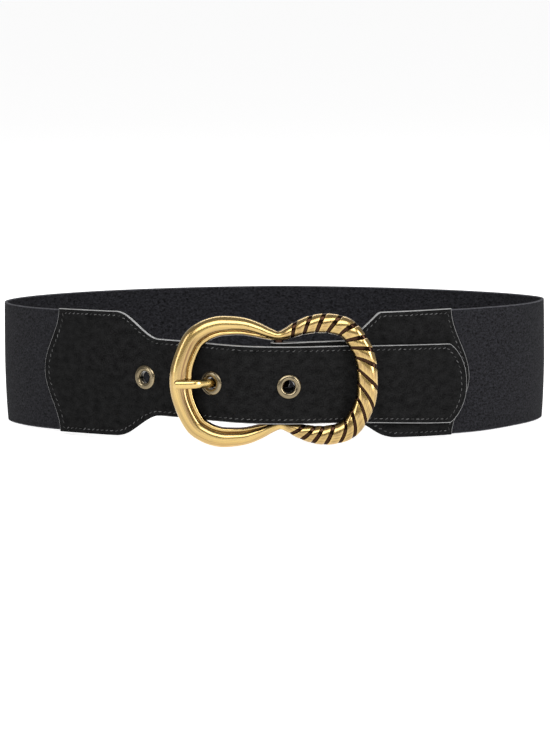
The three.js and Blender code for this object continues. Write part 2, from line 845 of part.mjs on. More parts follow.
// Origin at the bottom centre of the belt
belt.updateMatrixWorld(true);
const extent = new THREE.Box3().setFromObject(belt, true);
belt.position.set(
  -(extent.min.x + extent.max.x) / 2,
  -(extent.min.y + extent.max.y) / 2,
  -extent.min.z,
);
belt.updateMatrixWorld(true);

export default belt;
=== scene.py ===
"""Looks of an elastic stretch belt: webbing, suede tabs, a cast two-lobe buckle and eyelets.

The pieces are built in metres on the lines that the CAD part follows, seen from above:
+X is the side of the strap tip, the buckle faces -Y and +Z is up. Distances along a strap
or a tab are measured from the buckle's centre bar.
"""

import math

import bmesh
import bpy
import numpy as np
from bpy.props import FloatProperty, FloatVectorProperty, IntProperty, PointerProperty
from mathutils import Euler, Matrix, Vector
from mathutils.kdtree import KDTree


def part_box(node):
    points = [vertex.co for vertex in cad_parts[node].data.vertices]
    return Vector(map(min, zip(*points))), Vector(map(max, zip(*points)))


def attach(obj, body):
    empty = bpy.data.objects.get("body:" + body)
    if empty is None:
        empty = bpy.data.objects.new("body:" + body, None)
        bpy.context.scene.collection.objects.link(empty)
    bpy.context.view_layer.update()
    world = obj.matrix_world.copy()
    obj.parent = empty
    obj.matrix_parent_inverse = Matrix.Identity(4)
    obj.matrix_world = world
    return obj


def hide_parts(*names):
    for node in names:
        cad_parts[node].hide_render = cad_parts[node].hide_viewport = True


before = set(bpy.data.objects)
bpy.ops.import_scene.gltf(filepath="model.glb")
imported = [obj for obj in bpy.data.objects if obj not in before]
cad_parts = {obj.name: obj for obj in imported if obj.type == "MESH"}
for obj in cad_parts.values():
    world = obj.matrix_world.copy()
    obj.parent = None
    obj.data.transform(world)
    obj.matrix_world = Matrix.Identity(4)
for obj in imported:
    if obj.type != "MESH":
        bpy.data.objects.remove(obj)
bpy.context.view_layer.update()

bl_info = {
    "name": "Elastic Stretch Belt",
    "version": (1, 0, 0),
    "blender": (4, 5, 0),
    "location": "View3D > Sidebar > Belt",
    "description": "Builds the looks of an elastic stretch belt around its CAD part",
    "category": "Add Mesh",
}

PLACE = "belt_place"
MM = 0.001

# Strap bends near the buckle: across as a share of half its width, deep of the rim's depth
STRAP_BENDS = np.array(
    [
        (-1.335, 3.727),
        (-1.197, 3.013),
        (-1.021, 2.125),
        (-0.873, 1.47),
        (-0.736, 0.844),
        (-0.608, 0.24),
        (-0.491, -0.298),
        (-0.353, -0.801),
        (-0.196, -1.055),
        (-0.039, -1.055),
        (0.139, -0.859),
        (0.314, -0.488),
        (0.491, 0.073),
        (0.658, 0.597),
        (0.752, 0.859),
        (0.913, 1.186),
    ]
)

# Bends of the right tab's neck, in the same shares
NECK_BENDS = np.array(
    [(0.157, 0.211), (0.314, 0.386), (0.491, 0.67), (0.658, 1.055), (0.805, 1.441)]
)

# Prong's middle line, in the same shares
PRONG_ROWS = np.array(
    [
        (-0.037, 0.146),
        (-0.157, 0.415),
        (-0.314, 0.641),
        (-0.432, 0.67),
        (-0.516, 0.459),
        (-0.591, 0.16),
        (-0.665, -0.197),
        (-0.732, -0.531),
        (-0.795, -0.699),
        (-0.864, -0.75),
        (-0.956, -0.75),
    ]
)

# Upper half of the buckle's middle line: across and up as shares of half its width and
# height, the wire's half width as a share of half the height, and the share of rope
FRAME_ROWS = np.array(
    [
        (-0.889, 0, 0.178, 0),
        (-0.864, 0.293, 0.169, 0),
        (-0.771, 0.624, 0.167, 0),
        (-0.662, 0.768, 0.163, 0),
        (-0.546, 0.836, 0.157, 0),
        (-0.442, 0.85, 0.15, 0),
        (-0.295, 0.836, 0.135, 0),
        (-0.165, 0.78, 0.117, 0),
        (-0.052, 0.714, 0.092, 0),
        (0.043, 0.68, 0.072, 0),
        (0.127, 0.71, 0.09, 0.5),
        (0.236, 0.785, 0.115, 1),
        (0.372, 0.843, 0.138, 1),
        (0.527, 0.849, 0.15, 1),
        (0.685, 0.772, 0.156, 1),
        (0.79, 0.575, 0.158, 1),
        (0.862, 0.32, 0.158, 1),
        (0.88, 0, 0.158, 1),
    ]
)

# Rope grooves: share of the way round the right lobe, and how far the outer end runs ahead
ROPE_GROOVES = np.array(
    [
        (0.063, 0.74),
        (0.119, 0.72),
        (0.171, 0.5),
        (0.224, 0.56),
        (0.28, 0.4),
        (0.331, 0.4),
        (0.375, 0.63),
        (0.429, 0.71),
        (0.495, 1.03),
        (0.562, 1.18),
        (0.623, 1.05),
        (0.686, 0.96),
        (0.737, 0.85),
        (0.797, 0.58),
        (0.844, 0.52),
        (0.884, 0.65),
        (0.929, 0.8),
    ]
)

# Painted shade across the smooth lobe's front, in darker reflection bands and along its inner
# edge, with dark polish in the crease beside the bead: place from its inner to its outer edge,
# and strength
SMOOTH_SHADE = np.array(
    [
        (-1, 1),
        (-0.93, 0.9),
        (-0.86, 0.25),
        (-0.75, 0),
        (-0.62, 0.1),
        (-0.55, 0.42),
        (-0.35, 0.3),
        (-0.1, 0.1),
        (0.2, 0),
        (0.45, 0.06),
        (0.7, 0.26),
        (0.9, 0.2),
        (0.97, 0),
    ]
)

# Neck's opening towards the bar: distance from the bar and half the opening, in fold radii
FOLD_ROWS = np.array([(5.85, 0.2), (4.31, 0.277), (2.77, 0.62), (1.54, 0.88)])
FOLD_POINTS = 9

# Columns across half a rope groove, as shares of its half width
GROOVE_COLUMNS = np.array([0, 0.25, 0.5, 0.62, 0.7, 0.78, 0.88, 1])

# Length over which the rope starts at either waist
ROPE_FADE = 4 * MM

# Points this near to the bar's surface or the prong's eye count as lying on it
BAR_TOLERANCE = 0.05 * MM

# Points nearer than this are merged, and edges shorter than the second are dissolved
MERGE_DISTANCE = 0.002 * MM
SHORTEST_EDGE = 0.0001 * MM

# Angles in degrees over which an edge is shaded sharp
SHARP_METAL, SHARP_LEATHER, SHARP_THREAD = 35, 50, 60

# Seam line: its steps, the share of the inset that it must keep from the edge, half the
# length over which a stitch takes its direction, and how many runs before an end the
# further inset starts
SEAM_STEP, SEAM_KEPT, SEAM_NEAR, SEAM_RUNS = 0.3 * MM, 0.985, 0.6 * MM, 2.5

# Stitch: shortest and longest as shares, height as a share of its width, how deep its ends
# go and how far its middle stands out
STITCH_RUNS = (0.86, 1.1)
STITCH_FLAT, STITCH_SINK, STITCH_LIFT = 0.9, 0.28 * MM, 0.08 * MM

# Rope: part of a groove's half width that its walls take, power that rounds a strand, and
# the painted shade on a strand's crest
GROOVE_WALL, STRAND_POWER, STRAND_SHADE = 0.4, 0.7, 0.3

# Painted shade down the smooth lobe's left side: start and run across in buckle widths, then
# its place and width across the wire
SIDE_START, SIDE_RUN = 0.32, 0.1
SIDE_PLACE, SIDE_WIDTH = -0.1, 0.38

# Powers that round the strap's tip, across and along
NOSE_POWERS = (2.2, 1.25)

# Room round an eyelet's barrel in the strap, and half the length of the cylinder that cuts it
DRILL_GAP, DRILL_REACH = 0.2 * MM, 6 * MM

FLOOR_SIDES = 128
LIGHT_AIM = (0, -0.06)


def length(name, description, default):
    """A setting that Blender shows as a length."""
    return FloatProperty(
        name=name,
        description=description,
        default=default,
        unit="LENGTH",
        subtype="DISTANCE",
        precision=5,
    )


def plain(name, description, default):
    """A setting without a unit."""
    return FloatProperty(name=name, description=description, default=default, precision=4)


def colour(name, description, default):
    """A linear colour setting."""
    return FloatVectorProperty(
        name=name,
        description=description,
        default=default,
        size=3,
        min=0,
        max=1,
        subtype="COLOR",
    )


def whole(name, description, default, lowest):
    """A setting that is a whole number."""
    return IntProperty(name=name, description=description, default=default, min=lowest)


def degrees(name, description, default):
    """An angle, given in degrees here and shown in degrees by Blender."""
    return FloatProperty(
        name=name, description=description, default=math.radians(default), subtype="ANGLE"
    )


class BeltLoopSettings(bpy.types.PropertyGroup):
    """The closed belt seen from above."""

    width: length("Width", "Outer width of the loop", 0.2724)
    front_depth: length("Front depth", "Widest line to the front's middle", 0.118)
    back_depth: length("Back depth", "Widest line to the back's middle", 0.07)
    front_left: plain("Front left fullness", "Roundness of the front's left half", 1.6)
    front_right: plain("Front right fullness", "Roundness of the front's right half", 1.7)
    back_left: plain("Back left fullness", "Roundness of the back's left half", 1.83)
    back_right: plain("Back right fullness", "Roundness of the back's right half", 1.55)
    rounding: plain("Rounding", "Turn over which the side points are rounded", 0.1)
    front_lift: length("Front lift", "How far the front stands above the floor", 0.0035)
    right_fall: length("Right fall", "How far the lower edges sag on the right", 0.0014)


class BeltBandSettings(bpy.types.PropertyGroup):
    """The elastic webbing."""

    height: length("Height", "Height of the webbing", 0.06)
    thickness: length("Thickness", "Thickness of the webbing", 0.0014)
    insert: length("Insert", "Length of the webbing inside each tab", 0.016)
    lean: length("Lean", "How far the lower edge leans in", 0.0013)
    lean_run: length("Lean run", "Distance over which the lean starts", 0.04)
    edge: length("Edge rounding", "Rounding of the selvedges", 0.0005)
    pieces: whole("Pieces", "Steps round the loop", 420, 40)
    tint: colour("Tint", "Colour of the yarn", (0.0108, 0.0108, 0.0128))


class BeltLeatherSettings(bpy.types.PropertyGroup):
    """Both tabs and the strap."""

    layer: length("Layer", "Thickness of one layer of leather", 0.0011)
    gap: length("Gap", "Clearance round the webbing", 0.0003)
    seam: length("Seam", "Line of air between the strap's two layers", 0.00008)
    rounding: length("Edge rounding", "Rounding of the painted edge", 0.00035)
    softness: length("Corner softness", "Rounding of the outline's corners", 0.0012)
    low_softness: length("Low softness", "The same for the right tab's low corners", 0.0045)
    tab_height: length("Tab height", "Height of both tabs", 0.0612)
    waist_clearance: length("Waist clearance", "Gap to the buckle's waists", 0.00058)
    neck_layer: length("Neck layer", "Thickness of the neck's leather", 0.0013)
    left_end: length("Left end", "End of the left tab, before its bulge", -0.1283)
    left_bulge: length("Left bulge", "Reach of the left tab's bulged end", 0.0117)
    shoulder: length("Shoulder", "Length of the left tab's shoulders", 0.026)
    top_shoulder: length("Top shoulder", "Start of the left tab's top shoulder", -0.0902)
    low_shoulder: length("Low shoulder", "Start of the left tab's low shoulder", -0.0902)
    taper_start: length("Taper start", "Where the left tab starts to thin", -0.096)
    taper_run: length("Taper run", "Length over which a tab thins", 0.012)
    strap_tip: length("Strap tip", "Tip of the strap", 0.1033)
    strap_nose: length("Strap nose", "Length of the strap's rounded tip", 0.011)
    drop_shoulder: length("Drop at shoulder", "Strap below the belt's middle", 0.001)
    drop_tip: length("Drop at tip", "Strap below the belt's middle", 0.0055)
    clearance: length("Strap clearance", "Gap between strap and right tab", 0.0004)
    leaves: plain("Strap leaves", "Where the strap leaves the loop", -0.558)
    returns: plain("Strap returns", "Where the strap meets the loop again", 0.404)
    right_end: length("Right end", "End of the right tab, before its bulge", 0.0918)
    right_bulge: length("Right bulge", "Reach of the right tab's bulged end", 0.0118)
    right_bulge_drop: length("Right bulge drop", "Bulge below the belt's middle", 0.0035)
    right_top: length("Right top shoulder", "Start of the top shoulder", 0.0353)
    right_top_run: length("Right top run", "Length of the top shoulder", 0.0152)
    right_low: length("Right low shoulder", "Start of the low shoulder", 0.0367)
    right_low_run: length("Right low run", "Length of the low shoulder", 0.017)
    right_taper: length("Right taper start", "Where the right tab thickens", 0.052)
    neck_drop: length("Neck drop", "Neck below the belt's middle", 0.00145)
    # Painted highlight: the back layer's cut edges take the pale edge paint only up to here
    back_paint_and_highlight: length("Back paint and highlight", "Where the back layer's edge paint and highlight end", 0.05)
    neck_returns: plain("Neck returns", "Where the neck meets the loop", 0.367)
    slot_height: length("Slot height", "Height of the prong's slot", 0.006)
    slot_reach: length("Slot reach", "Reach of the prong's slot past the bar", 0.0082)
    tint: colour("Tint", "Colour of the suede", (0.0062, 0.0062, 0.0063))


class BeltStitchSettings(bpy.types.PropertyGroup):
    """Lockstitches round the tabs and the strap."""

    inset: length("Inset", "Distance of the seam from the edge", 0.00215)
    end_inset: length("End inset", "Further inset at the rounded ends", 0.0014)
    end_run: length("End run", "Length over which the end inset starts", 0.008)
    pitch: length("Pitch", "Distance from stitch to stitch", 0.0029)
    run: length("Length", "Length of one stitch", 0.002)
    thread: length("Thread", "Thickness of the thread", 0.00045)
    slant: plain("Slant", "Turn of every stitch, in radians", 0.3)
    jitter: plain("Jitter", "Random turn of each stitch, in radians", 0.16)
    tint: colour("Tint", "Colour of the thread", (0.034, 0.034, 0.034))


class BeltBuckleSettings(bpy.types.PropertyGroup):
    """The cast frame with its smooth lobe, rope lobe and bar."""

    width: length("Width", "Width of the buckle", 0.1019)
    height: length("Height", "Height of the buckle", 0.0638)
    tilt: degrees("Tilt", "Turn of the buckle about its bar", 1)
    drop: length("Drop", "Buckle below the belt's middle", 0.00105)
    rim_depth: length("Rim depth", "Front to back size of the smooth lobe", 0.007)
    waist_depth: length("Waist depth", "Front to back size of the waists", 0.0052)
    rope_depth: length("Rope depth", "Front to back size of the rope", 0.0064)
    bar_across: length("Bar across", "Bar from the buckle's middle", 0.0019)
    bar_back: length("Bar back", "Bar behind the buckle's plane", 0.001)
    bar_radius: length("Bar radius", "Radius of the bar", 0.0023)
    groove_depth: length("Groove depth", "Depth of the rope's grooves", 0.0008)
    groove_width: length("Groove width", "Width of the rope's grooves", 0.0023)
    crest: length("Crest", "Swelling of each strand", 0.00055)
    crown: plain("Crown", "Place of the smooth lobe's crown in half widths", 0.1)
    dome_end: plain("Dome end", "Inner end of the smooth lobe's dome", -0.6)
    bead: plain("Bead", "Place of the inner bead in half widths", -0.72)
    bead_height: plain("Bead height", "Height of the bead as a share", 0.58)
    # Painted shade down the smooth lobe's left side
    side_shade: plain("Side shade", "Painted shade down the lobe's left side", 0.5)
    notch: plain("Notch", "Share of a groove that shows at the rope's sides", 0.12)
    waist_share: plain("Waist share", "Wire share under which the waist starts", 0.14)
    waist_fade: plain("Waist fade", "Wire share over which it thins", 0.07)
    sides: whole("Sides", "Points round the wire", 72, 12)
    tint: colour("Tint", "Colour of the plating", (0.62, 0.435, 0.135))
    # Darkest brown: dark polish deep in the grooves, also used as painted shade round the bar and
    # along the smooth lobe's inner edge
    patina_and_shade: colour("Patina and shade", "Colour in the grooves", (0.03, 0.011, 0.004))


class BeltProngSettings(bpy.types.PropertyGroup):
    """The prong and its eye round the bar."""

    width: length("Width", "Height of the prong as it lies", 0.0043)
    thickness: length("Thickness", "Thickness of the prong", 0.0027)
    tip_share: plain("Tip share", "Size of the tip as a share", 0.94)
    taper: length("Taper", "Length over which the tip tapers", 0.012)
    rounding: length("Tip rounding", "Length of the rounded tip", 0.001)
    gap: length("Gap", "Clearance round the bar", 0.0003)
    sides: whole("Sides", "Points round the prong", 28, 8)


class BeltEyeletSettings(bpy.types.PropertyGroup):
    """The eyelets set through the strap."""

    outer: length("Flange", "Diameter of the flange", 0.0118)
    hole: length("Hole", "Diameter of the hole", 0.0059)
    barrel: length("Barrel", "Outer diameter of the barrel", 0.007)
    back: length("Back", "Diameter of the rolled foot", 0.0104)
    crown: length("Crown", "Height of the rolled lip above the leather", 0.00125)
    foot: length("Foot", "Height of the rolled foot", 0.001)
    drop: length("Drop", "Eyelets below the strap's middle", 0.0005)
    pitch: length("Pitch", "Distance from eyelet to eyelet", 0.0388)
    before: whole("Before", "Eyelets before the prong's", 1, 0)
    count: whole("Count", "Number of eyelets", 3, 1)
    sides: whole("Sides", "Points round an eyelet", 72, 12)
    tint: colour("Tint", "Colour of the brass", (0.3, 0.243, 0.152))


class BeltStageSettings(bpy.types.PropertyGroup):
    """Floor, lights and camera."""

    floor_radius: length("Floor radius", "Radius of the floor", 12)
    floor_tint: colour("Floor tint", "Colour of the floor", (0.9, 0.9, 0.9))
    floor_glow: plain("Floor glow", "Light that the floor adds by itself", 0.66)
    sky: plain("Sky", "Brightness of the room", 0.38)
    front_sky: plain("Front sky", "Brightness of the room behind the camera", 0.25)
    distance: length("Distance", "Camera to the target", 2.7)
    elevation: degrees("Elevation", "Angle of the camera above the floor", 6.36)
    roll: degrees("Roll", "Turn of the camera about its view", -0.37)
    lens: plain("Lens", "Focal length in millimetres", 349.7)
    target_height: length("Target height", "Height of the target", 0.03)
    shift_x: plain("Shift X", "Camera shift across", 0.0007)
    shift_y: plain("Shift Y", "Camera shift up", -0.0149)


GROUPS = {
    "belt_loop": BeltLoopSettings,
    "belt_band": BeltBandSettings,
    "belt_leather": BeltLeatherSettings,
    "belt_stitch": BeltStitchSettings,
    "belt_buckle": BeltBuckleSettings,
    "belt_prong": BeltProngSettings,
    "belt_eyelet": BeltEyeletSettings,
    "belt_stage": BeltStageSettings,
}


def mix(start, end, share):
    """Value between start and end."""
    return start + (end - start) * share


def ease(share):
    """Smooth step from 0 to 1."""
    inside = np.clip(share, 0, 1)
    return inside * inside * (3 - 2 * inside)


def bump(value, centre, width):
    """Round bump of height 1 at centre."""
    return np.exp(-(((value - centre) / width) ** 2))


def distances(points):
    """Distance of each point from the first one, along the line through them."""
    return np.concatenate([[0], np.cumsum(np.linalg.norm(np.diff(points, axis=0), axis=1))])


def along_line(stops, run, points):
    """Points of a flat line at distances along it; run holds its own points' distances."""
    return np.stack([np.interp(stops, run, points[:, k]) for k in (0, 1)], -1)


def unit(vectors):
    """Vectors in rows, each at length 1."""
    return vectors / np.linalg.norm(vectors, axis=-1, keepdims=True)


def round_angles(sides, start=0.0):
    """Angles of points round a closed section, started by a share of one step."""
    return 2 * math.pi * (np.arange(sides) + start) / sides


class Route:
    """Smooth line through points seen from above, read by distance from a chosen start."""

    STEPS = 48

    def __init__(self, points, zero_across=None):
        points = np.asarray(points, float)
        first = 2 * points[0] - points[1]
        last = 2 * points[-1] - points[-2]
        padded = np.vstack([first, points, last])
        step = np.linalg.norm(np.diff(padded, axis=0), axis=1) ** 0.5
        share = np.linspace(0, 1, self.STEPS, endpoint=False)[:, None]
        dense = []
        for i in range(1, len(points)):
            a, b, c, d = padded[i - 1 : i + 3]
            before, middle, after = step[i - 1 : i + 2]
            start = (b - a) / before - (c - a) / (before + middle) + (c - b) / middle
            end = (c - b) / middle - (d - b) / (middle + after) + (d - c) / after
            start, end = start * middle, end * middle
            bend = 3 * (c - b) - 2 * start - end
            twist = 2 * (b - c) + start + end
            dense.append(b + share * start + share**2 * bend + share**3 * twist)
        self.points = np.vstack([*dense, points[-1:]])
        self.run = distances(self.points)
        self.knots = self.run[:: self.STEPS]
        self.total = self.run[-1]
        run_x = np.gradient(self.points[:, 0], self.run)
        run_y = np.gradient(self.points[:, 1], self.run)
        size = np.hypot(run_x, run_y)
        self.out = np.stack([run_y / size, -run_x / size], axis=1)
        self.zero = 0.0
        if zero_across is not None:
            crossing = np.flatnonzero(self.points[:, 0] < zero_across)[-1]
            self.zero = self.run[crossing]

    def at(self, along):
        """Points and outward directions at distances along the route."""
        place = np.clip(np.asarray(along, float) + self.zero, 0, self.total)
        return along_line(place, self.run, self.points), along_line(place, self.run, self.out)


class Plan:
    """Lines that the belt's pieces follow, and their shift into the frame."""

    # Where the strap and the right tab follow the loop: its far end there as a share of
    # half the loop's width, and the number of points up to it
    STRAP_START = (-0.935, 8)
    STRAP_END = (0.727, 7)
    TAB_END = (0.793, 9)
    BAND_POINTS = 97

    # Sag of the lower edges on the right, by distance across: start and run of the sag,
    # start and run of its decrease, and the share that decreases
    FALL = (0.035, 0.05, 0.095, 0.035, 0.65)
    FALL_RUN_DEEP = 0.055
    TAB_FALL = 0.7

    # Lean of the webbing: share of its height that stands upright, and the lean at its top
    UPRIGHT = 0.58
    TOP_LEAN = 0.12
    EDGE_ROWS = 4
    BODY_ROWS = 9

    def __init__(self, scene):
        self.loop = scene.belt_loop
        self.band = scene.belt_band
        self.leather = scene.belt_leather
        self.buckle = scene.belt_buckle
        fullness = (self.loop.front_left + self.loop.back_left) / 2
        rounded = (1 + 2 * math.cos(self.loop.rounding) ** (2 / fullness)) / 3
        self.half = (self.loop.width - self.band.thickness) / (2 * rounded)
        self.plane = -self.loop.front_depth
        self.tab_thick = 2 * self.leather.layer + self.band.thickness + 2 * self.leather.gap
        self.strap_thick = 2 * self.leather.layer
        self.centre = self.band.height / 2 + self.loop.front_lift - self.buckle.drop
        narrowest = FRAME_ROWS[:, 2].argmin()
        opening = (FRAME_ROWS[narrowest, 1] - FRAME_ROWS[narrowest, 2]) * self.buckle.height
        self.strap_height = opening - 2 * self.leather.waist_clearance

        leather = self.leather
        offset = self.tab_thick / 2 + leather.clearance + self.strap_thick / 2
        self.strap = Route(
            np.vstack(
                [
                    self.along_front(self.STRAP_START[0], leather.leaves, self.STRAP_START[1], 0),
                    self.beside(STRAP_BENDS),
                    self.along_front(leather.returns, *self.STRAP_END, offset),
                ]
            ),
            self.buckle.bar_across,
        )
        self.bar = np.array([self.buckle.bar_across, self.plane + self.buckle.bar_back])
        self.tab = Route(
            np.vstack(
                [
                    self.bar,
                    self.beside(NECK_BENDS),
                    self.along_front(leather.neck_returns, *self.TAB_END, 0),
                ]
            )
        )
        start = self.front_turn(self.tab.at(leather.right_end - self.band.insert)[0][0])
        end = self.front_turn(self.strap.at(leather.left_end + self.band.insert)[0][0])
        turns = np.linspace(start, 2 * math.pi + end, self.BAND_POINTS)
        self.band_route = Route(self.point(turns))
        low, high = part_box("elastic_band")
        self.shift = np.zeros(3)
        own = self.band_rings(0.0)
        self.shift[0] = (low.x + high.x) / 2 - (own[..., 0].min() + own[..., 0].max()) / 2
        self.shift[1] = high.y - own[..., 1].max()

    def oval(self, turn):
        """Point of the pointed oval, turned from the front centre towards +X."""
        sine, cosine = np.sin(turn), np.cos(turn)
        front, right = cosine > 0, sine > 0
        loop = self.loop
        fullness = np.where(
            front,
            np.where(right, loop.front_right, loop.front_left),
            np.where(right, loop.back_right, loop.back_left),
        )
        across = np.sign(sine) * np.abs(sine) ** (2 / fullness)
        deep = np.abs(cosine) ** (2 / fullness)
        depth = np.where(front, -loop.front_depth, loop.back_depth)
        return np.stack([self.half * across, depth * deep], -1)

    def point(self, turn):
        """Point of the loop's middle line, with the oval's points rounded off."""
        turn = np.asarray(turn, float)
        rounding = self.loop.rounding
        return (self.oval(turn) + self.oval(turn - rounding) + self.oval(turn + rounding)) / 3

    def front_turn(self, across):
        """Turn of the loop's front half at a distance across."""
        fullness = np.where(across > 0, self.loop.front_right, self.loop.front_left)
        return np.sign(across) * np.arcsin((np.abs(across) / self.half) ** (fullness / 2))

    def along_front(self, start, end, count, outward):
        """Points on the loop's front between two shares of half its width."""
        turn = self.front_turn(np.linspace(start, end, count) * self.half)
        small = 0.002
        run = unit(self.point(turn + small) - self.point(turn - small))
        return self.point(turn) + outward * np.stack([run[:, 1], -run[:, 0]], 1)

    def beside(self, rows):
        """Points beside the buckle from table rows."""
        across = rows[:, 0] * self.buckle.width / 2
        return np.stack([across, self.plane + rows[:, 1] * self.buckle.rim_depth], 1)

    def middle(self, deep):
        """Middle height of the belt at a distance from its widest line."""
        lift = self.loop.front_lift * ease(-np.asarray(deep) / self.loop.front_depth)
        return self.band.height / 2 + lift

    def fall(self, across):
        """Sag of the lower edges on the front's right half."""
        start, run, less_start, less_run, less = self.FALL
        sag = ease((across - start) / run) * (1 - less * ease((across - less_start) / less_run))
        return self.loop.right_fall * sag

    def strap_drop(self, along):
        """Drop of the strap's middle below the belt's middle."""
        leather = self.leather
        shoulder = leather.low_shoulder + leather.shoulder
        share = (along - shoulder) / (leather.strap_tip - shoulder)
        return mix(leather.drop_shoulder, leather.drop_tip, share)

    def left_edges(self, along):
        """Lower and upper edge of the left tab and the strap."""
        leather = self.leather
        spot = self.strap.at(along)[0]
        middle = self.middle(spot[..., 1])
        strap = middle - self.strap_drop(along)
        top = ease((along - leather.top_shoulder) / leather.shoulder)
        low = ease((along - leather.low_shoulder) / leather.shoulder)
        half = self.strap_height / 2
        return (
            mix(middle - leather.tab_height / 2, strap - half, low) - self.fall(spot[..., 0]),
            mix(middle + leather.tab_height / 2, strap + half, top),
        )

    def right_edges(self, along):
        """Lower and upper edge of the right tab and its neck."""
        leather = self.leather
        spot = self.tab.at(along)[0]
        middle = self.middle(spot[..., 1])
        neck = middle - leather.neck_drop
        half = self.strap_height / 2
        low, high = -self.TAB_FALL * self.fall(spot[..., 0]), 0
        soft = np.linspace(-1, 1, 9)
        for share in soft:
            start = leather.right_top - share * leather.softness
            top = np.clip((along - start) / leather.right_top_run, 0, 1)
            start = leather.right_low - share * leather.low_softness
            foot = np.clip((along - start) / leather.right_low_run, 0, 1)
            high = high + mix(neck + half, middle + leather.tab_height / 2, top) / len(soft)
            low = low + mix(neck - half, middle - leather.tab_height / 2, foot) / len(soft)
        return low, high

    def left_thickness(self, along):
        """Thickness of the left tab and the strap."""
        share = ease((along - self.leather.taper_start) / self.leather.taper_run)
        return mix(self.tab_thick, self.strap_thick, share)

    def eyelet_stops(self, scene):
        """Distances of the eyelets along the strap."""
        crossing = PRONG_ROWS[np.flatnonzero(PRONG_ROWS[:, 1] < 0)[0], 0]
        start = crossing * self.buckle.width / 2
        eyelets = scene.belt_eyelet
        return start + (np.arange(eyelets.count) - eyelets.before) * eyelets.pitch

    def eyelet_height(self, scene, stop):
        """Height of an eyelet's middle."""
        middle = self.middle(self.strap.at(stop)[0][..., 1])
        return float(middle - self.strap_drop(stop) - scene.belt_eyelet.drop)

    def band_rings(self, edge):
        """Rings of points round the webbing's section, from its outer foot upwards."""
        band = self.band
        along = np.linspace(0, self.band_route.total, band.pieces + 1)
        spot, out = self.band_route.at(along)
        to_end = np.minimum(along, self.band_route.total - along)
        start = band.insert + self.leather.right_bulge
        leaning = band.lean * ease((to_end - start) / band.lean_run)
        foot = self.middle(spot[:, 1]) - band.height / 2
        turn = np.linspace(0, math.pi / 2, self.EDGE_ROWS)
        body = np.linspace(0.02, 0.5, self.BODY_ROWS) * band.height
        rise = np.concatenate([edge * (1 - np.sin(turn[::-1])), body])
        side = band.thickness / 2 - edge * (1 - np.cos(turn[::-1]))
        side = np.concatenate([side, np.full(len(body), band.thickness / 2)])
        height = np.concatenate([rise, band.height - rise[-2::-1]])
        outward = np.concatenate([side, side[-2::-1]])
        share = height / band.height
        top = np.clip((share - self.UPRIGHT) / (1 - self.UPRIGHT), 0, 1)
        lean = np.clip(1 - share / self.UPRIGHT, 0, 1) ** 2 + self.TOP_LEAN * top**2
        height = np.concatenate([height, height[::-1]])
        outward = np.concatenate([outward, -outward[::-1]])
        lean = np.concatenate([lean, lean[::-1]])
        shift = outward[None, :] - leaning[:, None] * lean[None, :]
        flat = spot[:, None, :] + out[:, None, :] * shift[..., None]
        sag = self.fall(spot[:, 0]) * ease(-spot[:, 1] / self.FALL_RUN_DEEP)
        up = foot[:, None] + height[None, :] - sag[:, None] * (1 - height[None, :] / band.height)
        return np.concatenate([flat, up[..., None]], -1)


def loft(rings, closed=False, capped=False):
    """Faces through rings of matching points."""
    count, sides = rings.shape[:2]
    spans = count if closed else count - 1
    i = np.arange(spans)[:, None]
    j = np.arange(sides)[None, :]
    ahead = (i + 1) % count
    turn = (j + 1) % sides
    corners = [i * sides + j, i * sides + turn, ahead * sides + turn, ahead * sides + j]
    faces = np.stack(corners, -1).reshape(-1, 4).tolist()
    if capped:
        faces.append(list(range(sides)))
        faces.append([(count - 1) * sides + k for k in range(sides)])
    return faces


def add_piece(name, points, faces, place, materials, indices=None, angle=SHARP_METAL):
    """A closed mesh object from points and faces, with the place attribute of its shaders."""
    mesh = bpy.data.meshes.new(name)
    mesh.from_pydata(np.asarray(points).reshape(-1, 3).tolist(), [], faces)
    attribute = mesh.attributes.new(PLACE, "FLOAT_VECTOR", "POINT")
    attribute.data.foreach_set("vector", np.asarray(place, np.float32).ravel())
    if indices is not None:
        mesh.polygons.foreach_set("material_index", np.asarray(indices, np.int32))
    tidy = bmesh.new()
    tidy.from_mesh(mesh)
    bmesh.ops.remove_doubles(tidy, verts=tidy.verts, dist=MERGE_DISTANCE)
    bmesh.ops.dissolve_degenerate(tidy, edges=tidy.edges, dist=SHORTEST_EDGE)
    bmesh.ops.recalc_face_normals(tidy, faces=tidy.faces)
    tidy.to_mesh(mesh)
    tidy.free()
    for material in materials:
        mesh.materials.append(material)
    made = bpy.data.objects.new(name, mesh)
    bpy.context.scene.collection.objects.link(made)
    smooth(made, angle)
    return made


# The third part of the place is a mask that darkens: grooves with their dark polish, and painted
# shade
def ring_place(rings, along, across, groove_and_shade=0):
    """Place attribute for rings of points."""
    place = np.empty(rings.shape)
    place[..., 0], place[..., 1], place[..., 2] = along, across, groove_and_shade
    return place


def smooth(piece, angle):
    """Smooth shading with sharp edges over an angle in degrees."""
    piece.data.shade_smooth()
    piece.data.set_sharp_from_angle(angle=math.radians(angle))


def combine(piece, others, operation, angle=SHARP_METAL):
    """Cuts or joins closed meshes with a piece, and removes them."""
    for other in others:
        modifier = piece.modifiers.new("combine", "BOOLEAN")
        modifier.operation = operation
        modifier.solver = "EXACT"
        modifier.object = other
        bpy.context.view_layer.update()
        evaluated = piece.evaluated_get(bpy.context.evaluated_depsgraph_get())
        made = bpy.data.meshes.new_from_object(evaluated)
        piece.modifiers.clear()
        old, piece.data = piece.data, made
        made.name = piece.name
        bpy.data.meshes.remove(old)
        bpy.data.meshes.remove(other.data)
    smooth(piece, angle)


def finish_piece(piece, replaces=()):
    """Declares a piece to the frame."""
    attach(piece, "root")
    if replaces:
        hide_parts(*replaces)


# Rows of points at both edges of a leather layer, by distance from the edge
SEAM_ROWS = np.array([0.6, 1.2, 1.7, 2.2, 2.7, 3.4, 5, 8]) * MM


